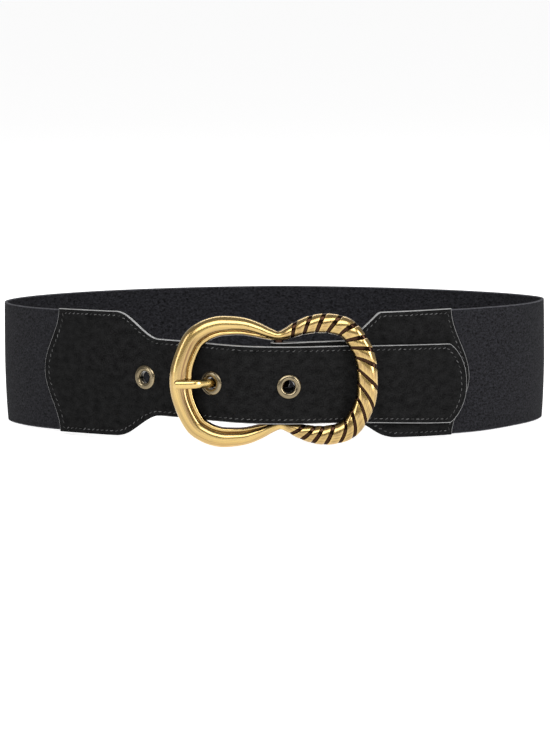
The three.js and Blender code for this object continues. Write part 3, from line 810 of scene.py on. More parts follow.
class Outline:
    """Cut of a leather piece as columns of lower and upper points, both ends in a point."""

    TREE_STEP = 0.0002

    def __init__(self, along, low, high):
        self.low = np.stack([along, low], 1)
        self.high = np.stack([along, high], 1)
        count = len(along)
        self.loop = np.vstack([self.low, self.high[-2:0:-1]])
        before = unit(self.loop - np.roll(self.loop, 1, 0))
        after = unit(np.roll(self.loop, -1, 0) - self.loop)
        left = np.stack([-before[:, 1] - after[:, 1], before[:, 0] + after[:, 0]], 1)
        inward = left / (1 + (before * after).sum(1, keepdims=True))
        order = [0, *range(2 * count - 3, count - 1, -1), count - 1]
        self.inward_low = inward[:count]
        self.inward_high = inward[order]

    def dense(self, step):
        """The closed outline in short steps."""
        closed = np.vstack([self.loop, self.loop[:1]])
        run = distances(closed)
        place = np.linspace(0, run[-1], int(run[-1] / step), endpoint=False)
        return along_line(place, run, closed)

    def tree(self):
        """Search tree of the outline's points."""
        points = self.dense(self.TREE_STEP)
        tree = KDTree(len(points))
        for i, (x, y) in enumerate(points):
            tree.insert((x, y, 0), i)
        tree.balance()
        return tree

    def size(self):
        """Height and length of the cut laid flat."""
        extent = self.loop.max(0) - self.loop.min(0)
        return float(extent[1]), float(extent[0])


def layer_rows(outline, thick, rounding):
    """Section of a leather layer at every column: flat place, depth and edge mask."""
    turns = np.linspace(0, math.pi / 2, 5)
    columns = len(outline.low)
    rows = []

    def add_rounded(line, inward, turn):
        place = line + inward * rounding * (1 - math.cos(turn))
        rows.append((place, np.full(columns, rounding * (1 - math.sin(turn))), True))

    for turn in turns:
        add_rounded(outline.low, outline.inward_low, turn)
    low, high = rows[-1][0], outline.high + outline.inward_high * rounding
    tall = np.linalg.norm(high - low, axis=1)
    scale = np.minimum(1, tall / (2.2 * SEAM_ROWS[-1]))
    inner = [distance * scale for distance in SEAM_ROWS]
    inner += [mix(inner[-1], tall - inner[-1], share) for share in (0.2, 0.4, 0.6, 0.8)]
    inner += [tall - distance for distance in inner[len(SEAM_ROWS) - 1 :: -1]]
    for distance in inner:
        share = distance / np.maximum(tall, 1e-9)
        rows.append((mix(low, high, share[:, None]), np.zeros(columns), False))
    for turn in turns[::-1]:
        add_rounded(outline.high, outline.inward_high, turn)
    rows += [(outline.high, thick, False), (outline.low, thick, False)]
    flat, depth, edge = zip(*rows, strict=True)
    faces = [first and second for first, second in zip(edge, edge[1:] + edge[:1], strict=True)]
    faces[-3] = faces[-1] = True
    return np.stack(flat, 1), np.stack(depth, 1), faces


def leather_layer(name, outline, lay, thick, rounding, materials, painted):
    """A layer of leather; lay(along, depth) turns a flat place into a point seen from above.

    The lower and the upper cut edge get the pale grey edge paint, which is also a painted
    highlight, in the columns where painted's two masks hold.
    """
    flat, depth, edge = layer_rows(outline, thick, rounding)
    spot = lay(flat[..., 0], depth)
    rings = np.concatenate([spot, flat[..., 1:]], -1)
    tree = outline.tree()
    place = np.empty(rings.shape)
    place[..., :2] = flat
    for i, j in np.ndindex(flat.shape[:2]):
        place[i, j, 2] = tree.find((*flat[i, j], 0))[2]
    faces = loft(rings)
    low_side = np.arange(len(edge)) < len(edge) // 2
    low_side[-1] = True
    low, high = (mask[:-1, None] for mask in painted)
    indices = (np.where(low_side, low, high) & np.array(edge)).astype(int).ravel()
    return add_piece(name, rings, faces, place, materials, indices, SHARP_LEATHER)


def stitch_line(outline, settings, ends):
    """Middle points and directions of the stitches, laid flat."""
    tree = outline.tree()
    dense = outline.dense(SEAM_STEP)
    after = unit(np.roll(dense, -1, 0) - np.roll(dense, 1, 0))
    line = dense + settings.inset * np.stack([-after[:, 1], after[:, 0]], 1)
    # Inside a corner the shifted line would cross itself, so what lies too near is left out
    kept = [p for p in line if tree.find((*p, 0))[2] > SEAM_KEPT * settings.inset]
    line = np.array([*kept, kept[0]])
    first, last = outline.low[0, 0], outline.low[-1, 0]
    further = ends * settings.end_inset
    line[:, 0] += further * ease((first - line[:, 0]) / settings.end_run + SEAM_RUNS)
    line[:, 0] -= further * ease((line[:, 0] - last) / settings.end_run + SEAM_RUNS)
    run = distances(line)
    count = round(run[-1] / settings.pitch)
    stops = (np.arange(count) + 0.5) * run[-1] / count
    before, after = (along_line(stops + side * SEAM_NEAR, run, line) for side in (-1, 1))
    return along_line(stops, run, line), unit(after - before)


def add_stitches(name, outline, lay, settings, keep, materials, seed, slant=1, ends=1):
    """Sunk lengths of thread along a seam; lay(along, depth) places them."""
    spots, runs = stitch_line(outline, settings, ends)
    random = np.random.default_rng(seed)
    turns = random.normal(slant * settings.slant, settings.jitter, len(spots))
    lengths = settings.run * random.uniform(*STITCH_RUNS, len(spots))
    rows = np.linspace(-1, 1, 9)
    sides = round_angles(8)
    swell = settings.thread / 2 * np.sqrt(np.clip(1.04 - rows**4, 0, 1))
    across = swell[:, None] * np.cos(sides)[None, :]
    rise = STITCH_FLAT * swell[:, None] * np.sin(sides) - STITCH_SINK * rows[:, None] ** 2
    points, faces, place = [], [], []
    for spot, run, turn, size in zip(spots, runs, turns, lengths, strict=True):
        if not keep(spot[0]):
            continue
        ahead = Matrix.Rotation(turn, 2) @ Vector(run)
        side = np.array([-ahead[1], ahead[0]])
        along = rows * size / 2
        flat = spot + along[:, None, None] * np.array(ahead) + across[..., None] * side
        rings = np.concatenate([lay(flat[..., 0], -rise - STITCH_LIFT), flat[..., 1:]], -1)
        start = len(points) * rings.shape[0] * rings.shape[1]
        faces += [[start + k for k in face] for face in loft(rings, capped=True)]
        points.append(rings.reshape(-1, 3))
        shade = random.uniform(0, 1)
        twist = np.stack(np.broadcast_arrays(along[:, None], sides[None, :] * 0.001, shade), -1)
        place.append(twist.reshape(-1, 3))
    points, place = np.vstack(points), np.vstack(place)
    return add_piece(name, points, faces, place, materials, None, SHARP_THREAD)


def node(tree, kind, inputs=None, **settings):
    """Adds a shader node with its settings, values and links."""
    made = tree.nodes.new("ShaderNode" + kind)
    for key, value in settings.items():
        setattr(made, key, value)
    for key, value in (inputs or {}).items():
        if isinstance(value, bpy.types.NodeSocket):
            tree.links.new(value, made.inputs[key])
        else:
            made.inputs[key].default_value = value
    return made


def math_node(tree, operation, first, second=0.5, third=0.5):
    """Result of a maths node."""
    inputs = {0: first, 1: second, 2: third}
    return node(tree, "Math", inputs, operation=operation).outputs[0]


def blend_node(tree, factor, first, second):
    """Colour between two colours."""
    inputs = {0: factor, 6: first, 7: second}
    return node(tree, "Mix", inputs, data_type="RGBA").outputs[2]


def shift_node(tree, value, low, high, new_low, new_high):
    """Value moved from one range to another, kept inside it."""
    inputs = {"Value": value, 1: low, 2: high, 3: new_low, 4: new_high}
    return node(tree, "MapRange", inputs).outputs[0]


def noise_node(tree, place, scale, detail, distortion=0.0):
    """Noise over a place that is scaled by three numbers."""
    inputs = {"Vector": place, "Scale": scale}
    vector = node(tree, "Mapping", inputs, vector_type="POINT").outputs[0]
    inputs = {"Vector": vector, "Scale": 1.0, "Detail": detail, "Distortion": distortion}
    return node(tree, "TexNoise", inputs).outputs[0]


def bump_node(tree, strength, distance, height):
    """Normal bent by a height."""
    inputs = {"Strength": strength, "Distance": distance, "Height": height}
    return node(tree, "Bump", inputs).outputs[0]


def split(tree, vector):
    """The three parts of a vector."""
    return node(tree, "SeparateXYZ", {0: vector}).outputs


def make_group(name, inputs, outputs):
    """An empty shader node group with named sockets; gives the tree, its inputs and its end."""
    tree = bpy.data.node_groups.new(name, "ShaderNodeTree")
    for socket, (kind, default) in inputs.items():
        made = tree.interface.new_socket(socket, in_out="INPUT", socket_type="NodeSocket" + kind)
        if default is not None:
            made.default_value = default
    for socket, kind in outputs.items():
        tree.interface.new_socket(socket, in_out="OUTPUT", socket_type="NodeSocket" + kind)
    start = tree.nodes.new("NodeGroupInput").outputs
    end = tree.nodes.new("NodeGroupOutput").inputs
    return tree, start, end


def rgba(tint, share=1):
    """Linear colour with alpha, made darker or paler by a share."""
    return (*(part * share for part in tint), 1)


def weave_group():
    """Fine diagonal weave of covered elastic."""
    inputs = {
        "Place": ("Vector", None),
        "Rows": ("Float", 1300.0),
        "Relief": ("Float", 0.35),
    }
    outputs = {"Shade": "Float", "Normal": "Vector"}
    tree, start, end = make_group("belt_weave", inputs, outputs)
    x, z, _ = split(tree, start["Place"])
    warp = math_node(tree, "MULTIPLY", x, start["Rows"])
    weft = math_node(tree, "MULTIPLY", z, start["Rows"])
    slant = math_node(tree, "ADD", warp, math_node(tree, "MULTIPLY", weft, 0.5))
    ribs = math_node(tree, "SINE", math_node(tree, "MULTIPLY", slant, math.tau))
    rows = math_node(tree, "SINE", math_node(tree, "MULTIPLY", weft, math.tau))
    both = math_node(tree, "MULTIPLY", ribs, rows)
    yarn = shift_node(tree, both, -1.0, 1.0, 0.0, 1.0)
    fuzz = noise_node(tree, start["Place"], (900, 900, 900), 3.0)
    cloud = noise_node(tree, start["Place"], (620, 1150, 0), 2.0, 1.2)
    height = math_node(tree, "ADD", yarn, fuzz)
    normal = bump_node(tree, start["Relief"], 0.0002, height)
    speckle = math_node(tree, "MULTIPLY", fuzz, 0.35)
    shade = math_node(tree, "ADD", speckle, math_node(tree, "MULTIPLY", cloud, 0.65))
    shade = shift_node(tree, shade, 0.35, 0.65, 0.0, 1.0)
    tree.links.new(shade, end["Shade"])
    tree.links.new(normal, end["Normal"])
    return tree


def nap_group():
    """Mottled nap of suede, pressed down beside its edge."""
    inputs = {
        "Place": ("Vector", None),
        "Seam": ("Float", 0.00215),
        "Relief": ("Float", 0.5),
    }
    outputs = {"Mottle": "Float", "Normal": "Vector"}
    tree, start, end = make_group("suede_nap", inputs, outputs)
    broad = noise_node(tree, start["Place"], (240, 310, 0), 4.0)
    fine = noise_node(tree, start["Place"], (1500, 1500, 0), 3.0)
    fibres = math_node(tree, "MULTIPLY", fine, 0.55)
    mottle = math_node(tree, "ADD", fibres, math_node(tree, "MULTIPLY", broad, 0.45))
    mottle = shift_node(tree, mottle, 0.3, 0.7, 0.0, 1.0)
    edge = split(tree, start["Place"])[2]
    off = math_node(tree, "ABSOLUTE", math_node(tree, "SUBTRACT", edge, start["Seam"]))
    seam = shift_node(tree, off, 0.0, 0.0007, 1.0, 0.0)
    sunk = math_node(tree, "SUBTRACT", mottle, math_node(tree, "MULTIPLY", seam, 1.4))
    tree.links.new(mottle, end["Mottle"])
    tree.links.new(bump_node(tree, start["Relief"], 0.00018, sunk), end["Normal"])
    return tree


def wear_group():
    """Brushed streaks, dark polish and painted shade of plated metal; Place is along, across, and a
    mask of dark polish and painted shade.
    """
    inputs = {
        "Place": ("Vector", None),
        "Streaks": ("Float", 0.35),
        "Relief": ("Float", 0.06),
    }
    outputs = {"Streak": "Float", "Shade": "Float", "Patina and shade": "Float", "Normal": "Vector"}
    tree, start, end = make_group("metal_wear", inputs, outputs)
    lines = noise_node(tree, start["Place"], (45, 1300, 0), 5.0)
    pits = noise_node(tree, start["Place"], (420, 420, 0), 4.0)
    streak = shift_node(tree, lines, 0.34, 0.66, 0.0, 1.0)
    streak = math_node(tree, "MULTIPLY", streak, start["Streaks"])
    groove_and_shade = split(tree, start["Place"])[2]
    rough_edge = math_node(tree, "MULTIPLY_ADD", pits, 0.3, groove_and_shade)
    # Near-black share: dark polish deep in the grooves and pits, and painted shade where the mask
    # is full
    patina_and_shade = shift_node(tree, rough_edge, 0.66, 0.86, 0.0, 1.0)
    strength = shift_node(tree, lines, 0.35, 0.65, 0.9, 2.6)
    shade = shift_node(tree, math_node(tree, "MULTIPLY", groove_and_shade, strength), 0.0, 1.0, 0.0, 1.0)
    height = math_node(tree, "ADD", lines, pits)
    bumps = bump_node(tree, start["Relief"], 0.0002, height)
    tree.links.new(streak, end["Streak"])
    tree.links.new(shade, end["Shade"])
    tree.links.new(patina_and_shade, end["Patina and shade"])
    tree.links.new(bumps, end["Normal"])
    return tree


def new_material(name):
    """An empty node material with a Principled shader at its end."""
    made = bpy.data.materials.new(name)
    made.use_nodes = True
    tree = made.node_tree
    tree.nodes.clear()
    shader = node(tree, "BsdfPrincipled")
    node(tree, "OutputMaterial", {"Surface": shader.outputs[0]})
    return made, tree, shader.inputs


def place_of(tree):
    """The place attribute in a material."""
    return node(tree, "Attribute", attribute_name=PLACE).outputs["Vector"]


def add_group(tree, group, place, **values):
    """A node group in a material, fed with the place attribute."""
    made = tree.nodes.new("ShaderNodeGroup")
    made.node_tree = bpy.data.node_groups.get(group) or GROUP_MAKERS[group]()
    tree.links.new(place, made.inputs["Place"])
    for key, value in values.items():
        made.inputs[key].default_value = value
    return made.outputs


GROUP_MAKERS = {
    "belt_weave": weave_group,
    "suede_nap": nap_group,
    "metal_wear": wear_group,
}


def elastic_material(tint):
    """Matt bluish black webbing."""
    made, tree, shader = new_material("belt_elastic")
    weave = add_group(tree, "belt_weave", place_of(tree))
    dark = rgba(tint, 0.12)
    light = rgba(tint, 2.1)
    colours = blend_node(tree, weave["Shade"], dark, light)
    tree.links.new(colours, shader["Base Color"])
    tree.links.new(weave["Normal"], shader["Normal"])
    shader["Roughness"].default_value = 0.9
    shader["Specular IOR Level"].default_value = 0.1
    return made


def elastic_edge_highlight_material(tint):
    """Selvedge of the webbing, painted paler than its face as a highlight where it catches the
    light.
    """
    made, tree, shader = new_material("belt_elastic_edge_highlight")
    weave = add_group(tree, "belt_weave", place_of(tree), Rows=900.0)
    dark = rgba(tint, 2)
    light = rgba(tint, 6)
    tree.links.new(blend_node(tree, weave["Shade"], dark, light), shader["Base Color"])
    tree.links.new(weave["Normal"], shader["Normal"])
    shader["Roughness"].default_value = 0.75
    shader["Specular IOR Level"].default_value = 0.4
    return made


def suede_material(tint):
    """Black suede with a mottled nap."""
    made, tree, shader = new_material("belt_suede")
    nap = add_group(tree, "suede_nap", place_of(tree))
    dark = rgba(tint, 0.15)
    light = rgba(tint, 2.4)
    tree.links.new(blend_node(tree, nap["Mottle"], dark, light), shader["Base Color"])
    rough = shift_node(tree, nap["Mottle"], 0.0, 1.0, 0.98, 0.86)
    tree.links.new(rough, shader["Roughness"])
    tree.links.new(nap["Normal"], shader["Normal"])
    shader["Specular IOR Level"].default_value = 0.05
    return made


def edge_material():
    """Polished grey paint on the leather's cut edges, made pale as a painted highlight of the light
    that they catch.
    """
    made, tree, shader = new_material("belt_leather_edge")
    nap = add_group(tree, "suede_nap", place_of(tree), Relief=0.25)
    # Pale greys: the edge paint lightened into a painted highlight
    colours = blend_node(tree, nap["Mottle"], (0.17, 0.17, 0.17, 1), (0.36, 0.36, 0.36, 1))
    tree.links.new(colours, shader["Base Color"])
    tree.links.new(nap["Normal"], shader["Normal"])
    tree.links.new(shift_node(tree, nap["Mottle"], 0.0, 1.0, 0.42, 0.3), shader["Roughness"])
    shader["Specular IOR Level"].default_value = 0.6
    shader["Coat Weight"].default_value = 0.3
    shader["Coat Roughness"].default_value = 0.3
    return made


def thread_material(tint):
    """Twisted black thread that catches the light."""
    made, tree, shader = new_material("belt_thread")
    weave = add_group(tree, "belt_weave", place_of(tree), Rows=2500.0, Relief=0.6)
    dark = rgba(tint, 0.3)
    light = rgba(tint, 2.8)
    shade = split(tree, place_of(tree))[2]
    tree.links.new(blend_node(tree, shade, dark, light), shader["Base Color"])
    tree.links.new(weave["Normal"], shader["Normal"])
    shader["Roughness"].default_value = 0.55
    return made


def gold_material(tint, patina_and_shade):
    """Antique gold plating, brushed along the wire, with dark polish left in the grooves and
    painted shade on the strands' crests, across the smooth lobe and round the bar.
    """
    made, tree, shader = new_material("belt_antique_gold")
    wear = add_group(tree, "metal_wear", place_of(tree))
    bronze = rgba([tint[0] * 0.62, tint[1] * 0.52, tint[2] * 0.4])
    brown = rgba([tint[0] * 0.34, tint[1] * 0.24, tint[2] * 0.14])
    metal = blend_node(tree, wear["Streak"], rgba(tint), bronze)
    # Brown: dark polish in the grooves, and painted shade on the strands' crests, the smooth lobe's
    # front and round the bar
    metal = blend_node(tree, wear["Shade"], metal, brown)
    # Darkest brown: dark polish deep in the grooves, and painted shade round the bar and along the
    # smooth lobe's inner edge
    tree.links.new(blend_node(tree, wear["Patina and shade"], metal, rgba(patina_and_shade)), shader["Base Color"])
    rough = shift_node(tree, wear["Streak"], 0.0, 1.0, 0.2, 0.42)
    rough = math_node(tree, "MULTIPLY", rough, shift_node(tree, wear["Patina and shade"], 0.0, 1.0, 1.0, 0.6))
    tree.links.new(rough, shader["Roughness"])
    tree.links.new(shift_node(tree, wear["Patina and shade"], 0.0, 1.0, 1.0, 0.12), shader["Coat Weight"])
    tree.links.new(wear["Normal"], shader["Normal"])
    shader["Metallic"].default_value = 1.0
    shader["Coat IOR"].default_value = 1.62
    shader["Coat Roughness"].default_value = 0.14
    return made


def brass_material(tint):
    """Dull antique brass, with painted shade down the eyelets' holes and under their flanges."""
    made, tree, shader = new_material("belt_antique_brass")
    wear = add_group(tree, "metal_wear", place_of(tree), Streaks=0.8)
    dull = rgba(tint, 0.4)
    metal = blend_node(tree, wear["Streak"], rgba(tint), dull)
    metal = blend_node(tree, wear["Shade"], metal, dull)
    # Near black: dark pits, and painted shade down the eyelets' holes
    dark = (0.012, 0.009, 0.006, 1)
    tree.links.new(blend_node(tree, wear["Patina and shade"], metal, dark), shader["Base Color"])
    rough = shift_node(tree, wear["Streak"], 0.0, 1.0, 0.16, 0.32)
    tree.links.new(rough, shader["Roughness"])
    tree.links.new(wear["Normal"], shader["Normal"])
    shader["Metallic"].default_value = 1.0
    return made


def floor_material(tint, glow):
    """Pale seamless floor of a light table."""
    made, tree, shader = new_material("belt_floor")
    place = node(tree, "TexCoord").outputs["Object"]
    grain = node(tree, "TexNoise", {"Vector": place, "Scale": 3.0, "Detail": 2.0})
    pale = rgba(tint, 0.985)
    tree.links.new(blend_node(tree, grain.outputs[0], rgba(tint), pale), shader["Base Color"])
    tree.links.new(bump_node(tree, 0.02, 0.001, grain.outputs[0]), shader["Normal"])
    shader["Roughness"].default_value = 0.9
    shader["Specular IOR Level"].default_value = 0.1
    shader["Emission Color"].default_value = (1, 1, 1, 1)
    shader["Emission Strength"].default_value = glow
    return made


class BELT_OT_band(bpy.types.Operator):
    """Build the elastic webbing"""

    bl_idname = "belt.build_band"
    bl_label = "Elastic band"

    def execute(self, context):
        scene = context.scene
        plan = Plan(scene)
        band = scene.belt_band
        rings = plan.band_rings(band.edge)
        sides = rings.shape[1]
        along = np.linspace(0, plan.band_route.total, len(rings))
        height = rings[0, :, 2] - rings[0, :, 2].min()
        place = ring_place(rings, along[:, None], height)
        faces = loft(rings, capped=True)
        half = sides // 2
        side = np.arange(sides)
        # Selvedge faces, which get the paler edge material as a painted highlight
        edge = (side % half < 3) | (side % half >= half - 4)
        indices = np.append(np.tile(edge.astype(int), len(rings) - 1), [1, 1])
        materials = [elastic_material(band.tint), elastic_edge_highlight_material(band.tint)]
        points = rings + plan.shift
        piece = add_piece("elastic_webbing", points, faces, place, materials, indices)
        finish_piece(piece, ["elastic_band"])
        return {"FINISHED"}


def leather_materials(scene):
    """Suede and its edge paint with its painted highlight, made once."""
    made = [bpy.data.materials.get(name) for name in ("belt_suede", "belt_leather_edge")]
    return made if made[0] else [suede_material(scene.belt_leather.tint), edge_material()]


def thread_materials(scene):
    """The thread, made once."""
    return [bpy.data.materials.get("belt_thread") or thread_material(scene.belt_stitch.tint)]


def bulged_end(end, reach):
    """Distances along a bulged end up to its line, and how far the cut is open there."""
    opening = np.linspace(0, 1, 26)[:-1]
    return end - reach * (1 + np.cos(math.pi * opening)) / 2, opening


class BELT_OT_left_tab(bpy.types.Operator):
    """Build the left tab and its strap from two layers of suede, with their seams"""

    bl_idname = "belt.build_left_tab"
    bl_label = "Left tab and strap"

    def execute(self, context):
        scene = context.scene
        plan = Plan(scene)
        leather = scene.belt_leather
        bulge, opening = bulged_end(leather.left_end, leather.left_bulge)
        nose_start = leather.strap_tip - leather.strap_nose
        straight = np.linspace(leather.left_end, nose_start, 236)
        nose_opening = np.sin(np.linspace(1, 0, 22)[1:] * math.pi / 2)
        reach = (1 - nose_opening ** NOSE_POWERS[0]) ** (1 / NOSE_POWERS[1])
        nose = leather.strap_tip - leather.strap_nose * (1 - reach)
        along = np.concatenate([bulge, straight, nose])
        opened = np.concatenate([opening, np.ones(len(straight)), nose_opening])
        low, high = plan.left_edges(along)
        centre = (low + high) / 2
        outline = Outline(along, mix(centre, low, opened), mix(centre, high, opened))
        materials = leather_materials(scene)
        threads = thread_materials(scene)
        thick = leather.layer - leather.seam / 2
        # Cut edges that take the pale edge paint, which is also a painted highlight: the front's
        # upper edge, its lower edge at the bulge and along the strap, and the back's edges only
        # along the strap up to the back paint's end
        strap = along > leather.top_shoulder + leather.shoulder
        bulged = along < leather.left_end
        behind = strap & (along < leather.back_paint_and_highlight)
        painted = {1: (bulged | strap, np.ones(len(along), bool)), -1: (behind, behind)}
        layers = []
        for name, side in (("front", 1), ("back", -1)):

            def lay(places, depth, side=side):
                spot, out = plan.strap.at(places)
                outward = side * (plan.left_thickness(places) / 2 - depth)
                return spot + out * outward[..., None] + plan.shift[:2]

            layer = leather_layer(
                f"left_tab_{name}",
                outline,
                lay,
                np.full(len(along), thick),
                leather.rounding,
                materials,
                painted[side],
            )
            seam = add_stitches(
                f"left_tab_{name}_stitches",
                outline,
                lay,
                scene.belt_stitch,
                lambda _: True,
                threads,
                side + 3,
            )
            layers.append((layer, seam))
        stops = plan.eyelet_stops(scene)
        for layer, seam in layers:
            holes = [add_drill(scene, plan, stop) for stop in stops]
            combine(layer, holes, "DIFFERENCE", SHARP_LEATHER)
            finish_piece(layer, ["left_tab"])
            finish_piece(seam)
            outline.size()
        return {"FINISHED"}


def strap_matrix(scene, plan, stop):
    """Place of an eyelet: its own Z points out of the strap."""
    spot, out = plan.strap.at(stop)
    centre = Vector((*(spot + plan.shift[:2]), plan.eyelet_height(scene, stop)))
    turn = Vector((*out, 0)).to_track_quat("Z", "Y").to_matrix().to_4x4()
    return Matrix.Translation(centre) @ turn


def turned(points, matrix):
    """Points moved by a matrix."""
    table = np.array(matrix)
    return points @ table[:3, :3].T + table[:3, 3]


def add_drill(scene, plan, stop):
    """A cylinder through the strap."""
    radius = scene.belt_eyelet.barrel / 2 + DRILL_GAP
    angles = round_angles(scene.belt_eyelet.sides)
    circle = np.stack([radius * np.cos(angles), radius * np.sin(angles), 0 * angles], 1)
    rings = np.stack([circle + (0, 0, end * DRILL_REACH) for end in (-1, 1)])
    faces = loft(rings, capped=True)
    points = turned(rings.reshape(-1, 3), strap_matrix(scene, plan, stop))
    return add_piece("drill", points, faces, np.zeros(points.shape), leather_materials(scene))


class BELT_OT_right_tab(bpy.types.Operator):
    """Build the right tab, one sheet of suede folded round the bar, with its seams"""

    bl_idname = "belt.build_right_tab"
    bl_label = "Right tab"

    def execute(self, context):
        scene = context.scene
        plan = Plan(scene)
        leather, buckle = scene.belt_leather, scene.belt_buckle
        fold = buckle.bar_radius + leather.gap + leather.neck_layer / 2
        neck_start = FOLD_ROWS[0, 0] * fold
        tab_end = leather.right_end + leather.right_bulge
        stations = np.linspace(tab_end, neck_start + 0.003, 28)

        def thickened(along, thin, thick):
            return mix(thin, thick, ease((along - leather.right_taper) / leather.taper_run))

        def layer_thick(along):
            return thickened(along, leather.neck_layer, leather.layer)

        def side_points(side):
            spot, out = plan.tab.at(stations)
            both = thickened(stations, 2 * leather.neck_layer, plan.tab_thick)
            apart = side * (both - layer_thick(stations)) / 2
            outer = spot + out * apart[:, None]
            spot, out = plan.tab.at(FOLD_ROWS[:, 0] * fold)
            inner = spot + out * (side * FOLD_ROWS[:, 1] * fold)[:, None]
            return np.vstack([outer, inner])

        turn = np.linspace(-0.5, -1.5, FOLD_POINTS) * math.pi
        wrap = plan.bar + fold * np.stack([np.cos(turn), np.sin(turn)], 1)
        front, back = side_points(1), side_points(-1)
        route = Route(np.vstack([front, wrap, back[::-1]]))
        known = np.concatenate([stations, FOLD_ROWS[:, 0] * fold])
        known = np.concatenate([known, np.zeros(FOLD_POINTS), known[::-1]])

        def tab_along(places):
            return np.interp(places, route.knots, known)

        first, opening = bulged_end(leather.right_bulge, leather.right_bulge)
        straight = np.linspace(leather.right_bulge, route.total - leather.right_bulge, 230)
        along = np.concatenate([first, straight, route.total - first[::-1]])
        opened = np.concatenate([opening, np.ones(len(straight)), opening[::-1]])
        low, high = plan.right_edges(tab_along(along))
        centre = plan.middle(plan.tab.at(tab_along(along))[0][:, 1]) - leather.right_bulge_drop
        outline = Outline(along, mix(centre, low, opened), mix(centre, high, opened))

        def lay(places, depth):
            spot, out = route.at(places)
            outward = layer_thick(tab_along(places)) / 2 - depth
            return spot - out * outward[..., None] + plan.shift[:2]

        materials = leather_materials(scene)
        thick = layer_thick(tab_along(along))
        # Cut edges that take the pale edge paint, which is also a painted highlight: the front
        # half's upper edge, its lower edge at the bulge, and both edges of the neck
        front_half = along < route.total / 2
        bulged = front_half & (along < leather.right_bulge)
        neck = tab_along(along) < leather.right_top
        painted = (bulged | neck, front_half | neck)
        piece = leather_layer(
            "right_tab_fold", outline, lay, thick, leather.rounding, materials, painted
        )
        seam = add_stitches(
            "right_tab_stitches",
            outline,
            lay,
            scene.belt_stitch,
            lambda place: tab_along(place) > leather.right_low + 0.002,
            thread_materials(scene),
            11,
            slant=-1,
            ends=0.2,
        )
        height = plan.eyelet_height(scene, plan.eyelet_stops(scene)[scene.belt_eyelet.before])
        centre = Vector((*(plan.bar + plan.shift[:2]), height))
        slot = add_slot(leather, centre, 3 * fold, materials)
        combine(piece, [slot], "DIFFERENCE", SHARP_LEATHER)
        finish_piece(piece, ["right_tab"])
        finish_piece(seam)
        outline.size()
        return {"FINISHED"}


def add_slot(leather, centre, overrun, materials):
    """A rounded block that cuts the prong's slot through the fold."""
    angles = np.linspace(-math.pi / 2, math.pi / 2, 13)
    radius = leather.slot_height / 2
    reach = leather.slot_reach - radius
    x = np.concatenate([reach + radius * np.cos(angles), [-overrun, -overrun]])
    z = np.concatenate([radius * np.sin(angles), [radius, -radius]])
    rings = np.stack([np.stack([x, 0 * x + side * overrun, z], 1) for side in (-1, 1)])
    points = rings.reshape(-1, 3) + np.array(centre)
    return add_piece("slot", points, loft(rings, capped=True), np.zeros(points.shape), materials)


def table_value(rows, column, place):
    """Smooth value of a closed table's column between its rows."""
    place = np.asarray(place, float)
    row = np.floor(place).astype(int)
    share = place - row
    a, b, c, d = (rows[(row + k) % len(rows), column] for k in (-1, 0, 1, 2))
    bend = (2 * a - 5 * b + 4 * c - d) * share**2 + (3 * b - a - 3 * c + d) * share**3
    return b + ((c - a) * share + bend) / 2


class Wire:
    """The buckle's wire: its middle line, width, depth and rope."""

    def __init__(self, plan, settings):
        self.plan, self.settings = plan, settings
        lower = FRAME_ROWS[-2:0:-1] * (1, -1, 1, 1)
        self.rows = np.vstack([FRAME_ROWS, lower])
        self.waist = int(FRAME_ROWS[:, 2].argmin())
        self.low_waist = len(self.rows) - self.waist
        self.places = np.linspace(self.waist, self.low_waist, 801)
        self.lengths = distances(self.point(self.places))
        self.rope_length = self.lengths[-1]

    def point(self, place):
        """Point of the middle line, tilted about the bar."""
        settings = self.settings
        across = table_value(self.rows, 0, place) * settings.width / 2 - settings.bar_across
        up = table_value(self.rows, 1, place) * settings.height / 2
        cosine, sine = math.cos(settings.tilt), math.sin(settings.tilt)
        x = settings.bar_across + across * cosine - up * sine
        return np.stack([x, across * sine + up * cosine], -1)

    def rope_place(self, distance):
        """Table place at a distance round the rope lobe."""
        return np.interp(distance, self.lengths, self.places)

    def profile(self, lateral):
        """Front of the smooth lobe: a dome set outward and a lower bead along the inside."""
        settings = self.settings
        outer = (lateral - settings.crown) / (1 - settings.crown)
        inner = (lateral - settings.crown) / (settings.dome_end - settings.crown)
        dome = 1 - np.where(lateral > settings.crown, outer, inner) ** 2
        bead = 1 - ((lateral - settings.bead) / (1 + settings.bead)) ** 2
        bead = settings.bead_height * np.sqrt(np.clip(bead, 0, 1))
        return np.maximum(np.sqrt(np.clip(dome, 0, 1)), bead)

    def rings(self, place, sink):
        """Rings round the wire; place and sink are arrays of ring by side."""
        settings = self.settings
        angle = round_angles(settings.sides, 0.5)
        lateral = np.cos(angle)[None, :]
        spot = self.point(place)
        ahead = unit(self.point(place + 0.01) - self.point(place - 0.01))
        wide = table_value(self.rows, 2, place)
        rope = np.clip(table_value(self.rows, 3, place), 0, 1)
        waisted = np.clip((settings.waist_share - wide) / settings.waist_fade, 0, 1)
        half = wide * settings.height / 2 - settings.notch * sink
        depth = mix(settings.rim_depth, settings.rope_depth, rope)
        depth = mix(depth, settings.waist_depth, waisted) / 2 - sink
        round_side = np.sin(angle)[None, :]
        smooth_side = np.where(round_side > 0, self.profile(lateral), round_side)
        rise = mix(round_side, smooth_side, (1 - rope) * (1 - ease(waisted)))
        x = spot[..., 0] - ahead[..., 1] * half * lateral
        y = self.plan.plane - depth * rise
        z = self.plan.centre + spot[..., 1] + ahead[..., 0] * half * lateral
        return np.stack([x, y, z], -1), half * angle[None, :]


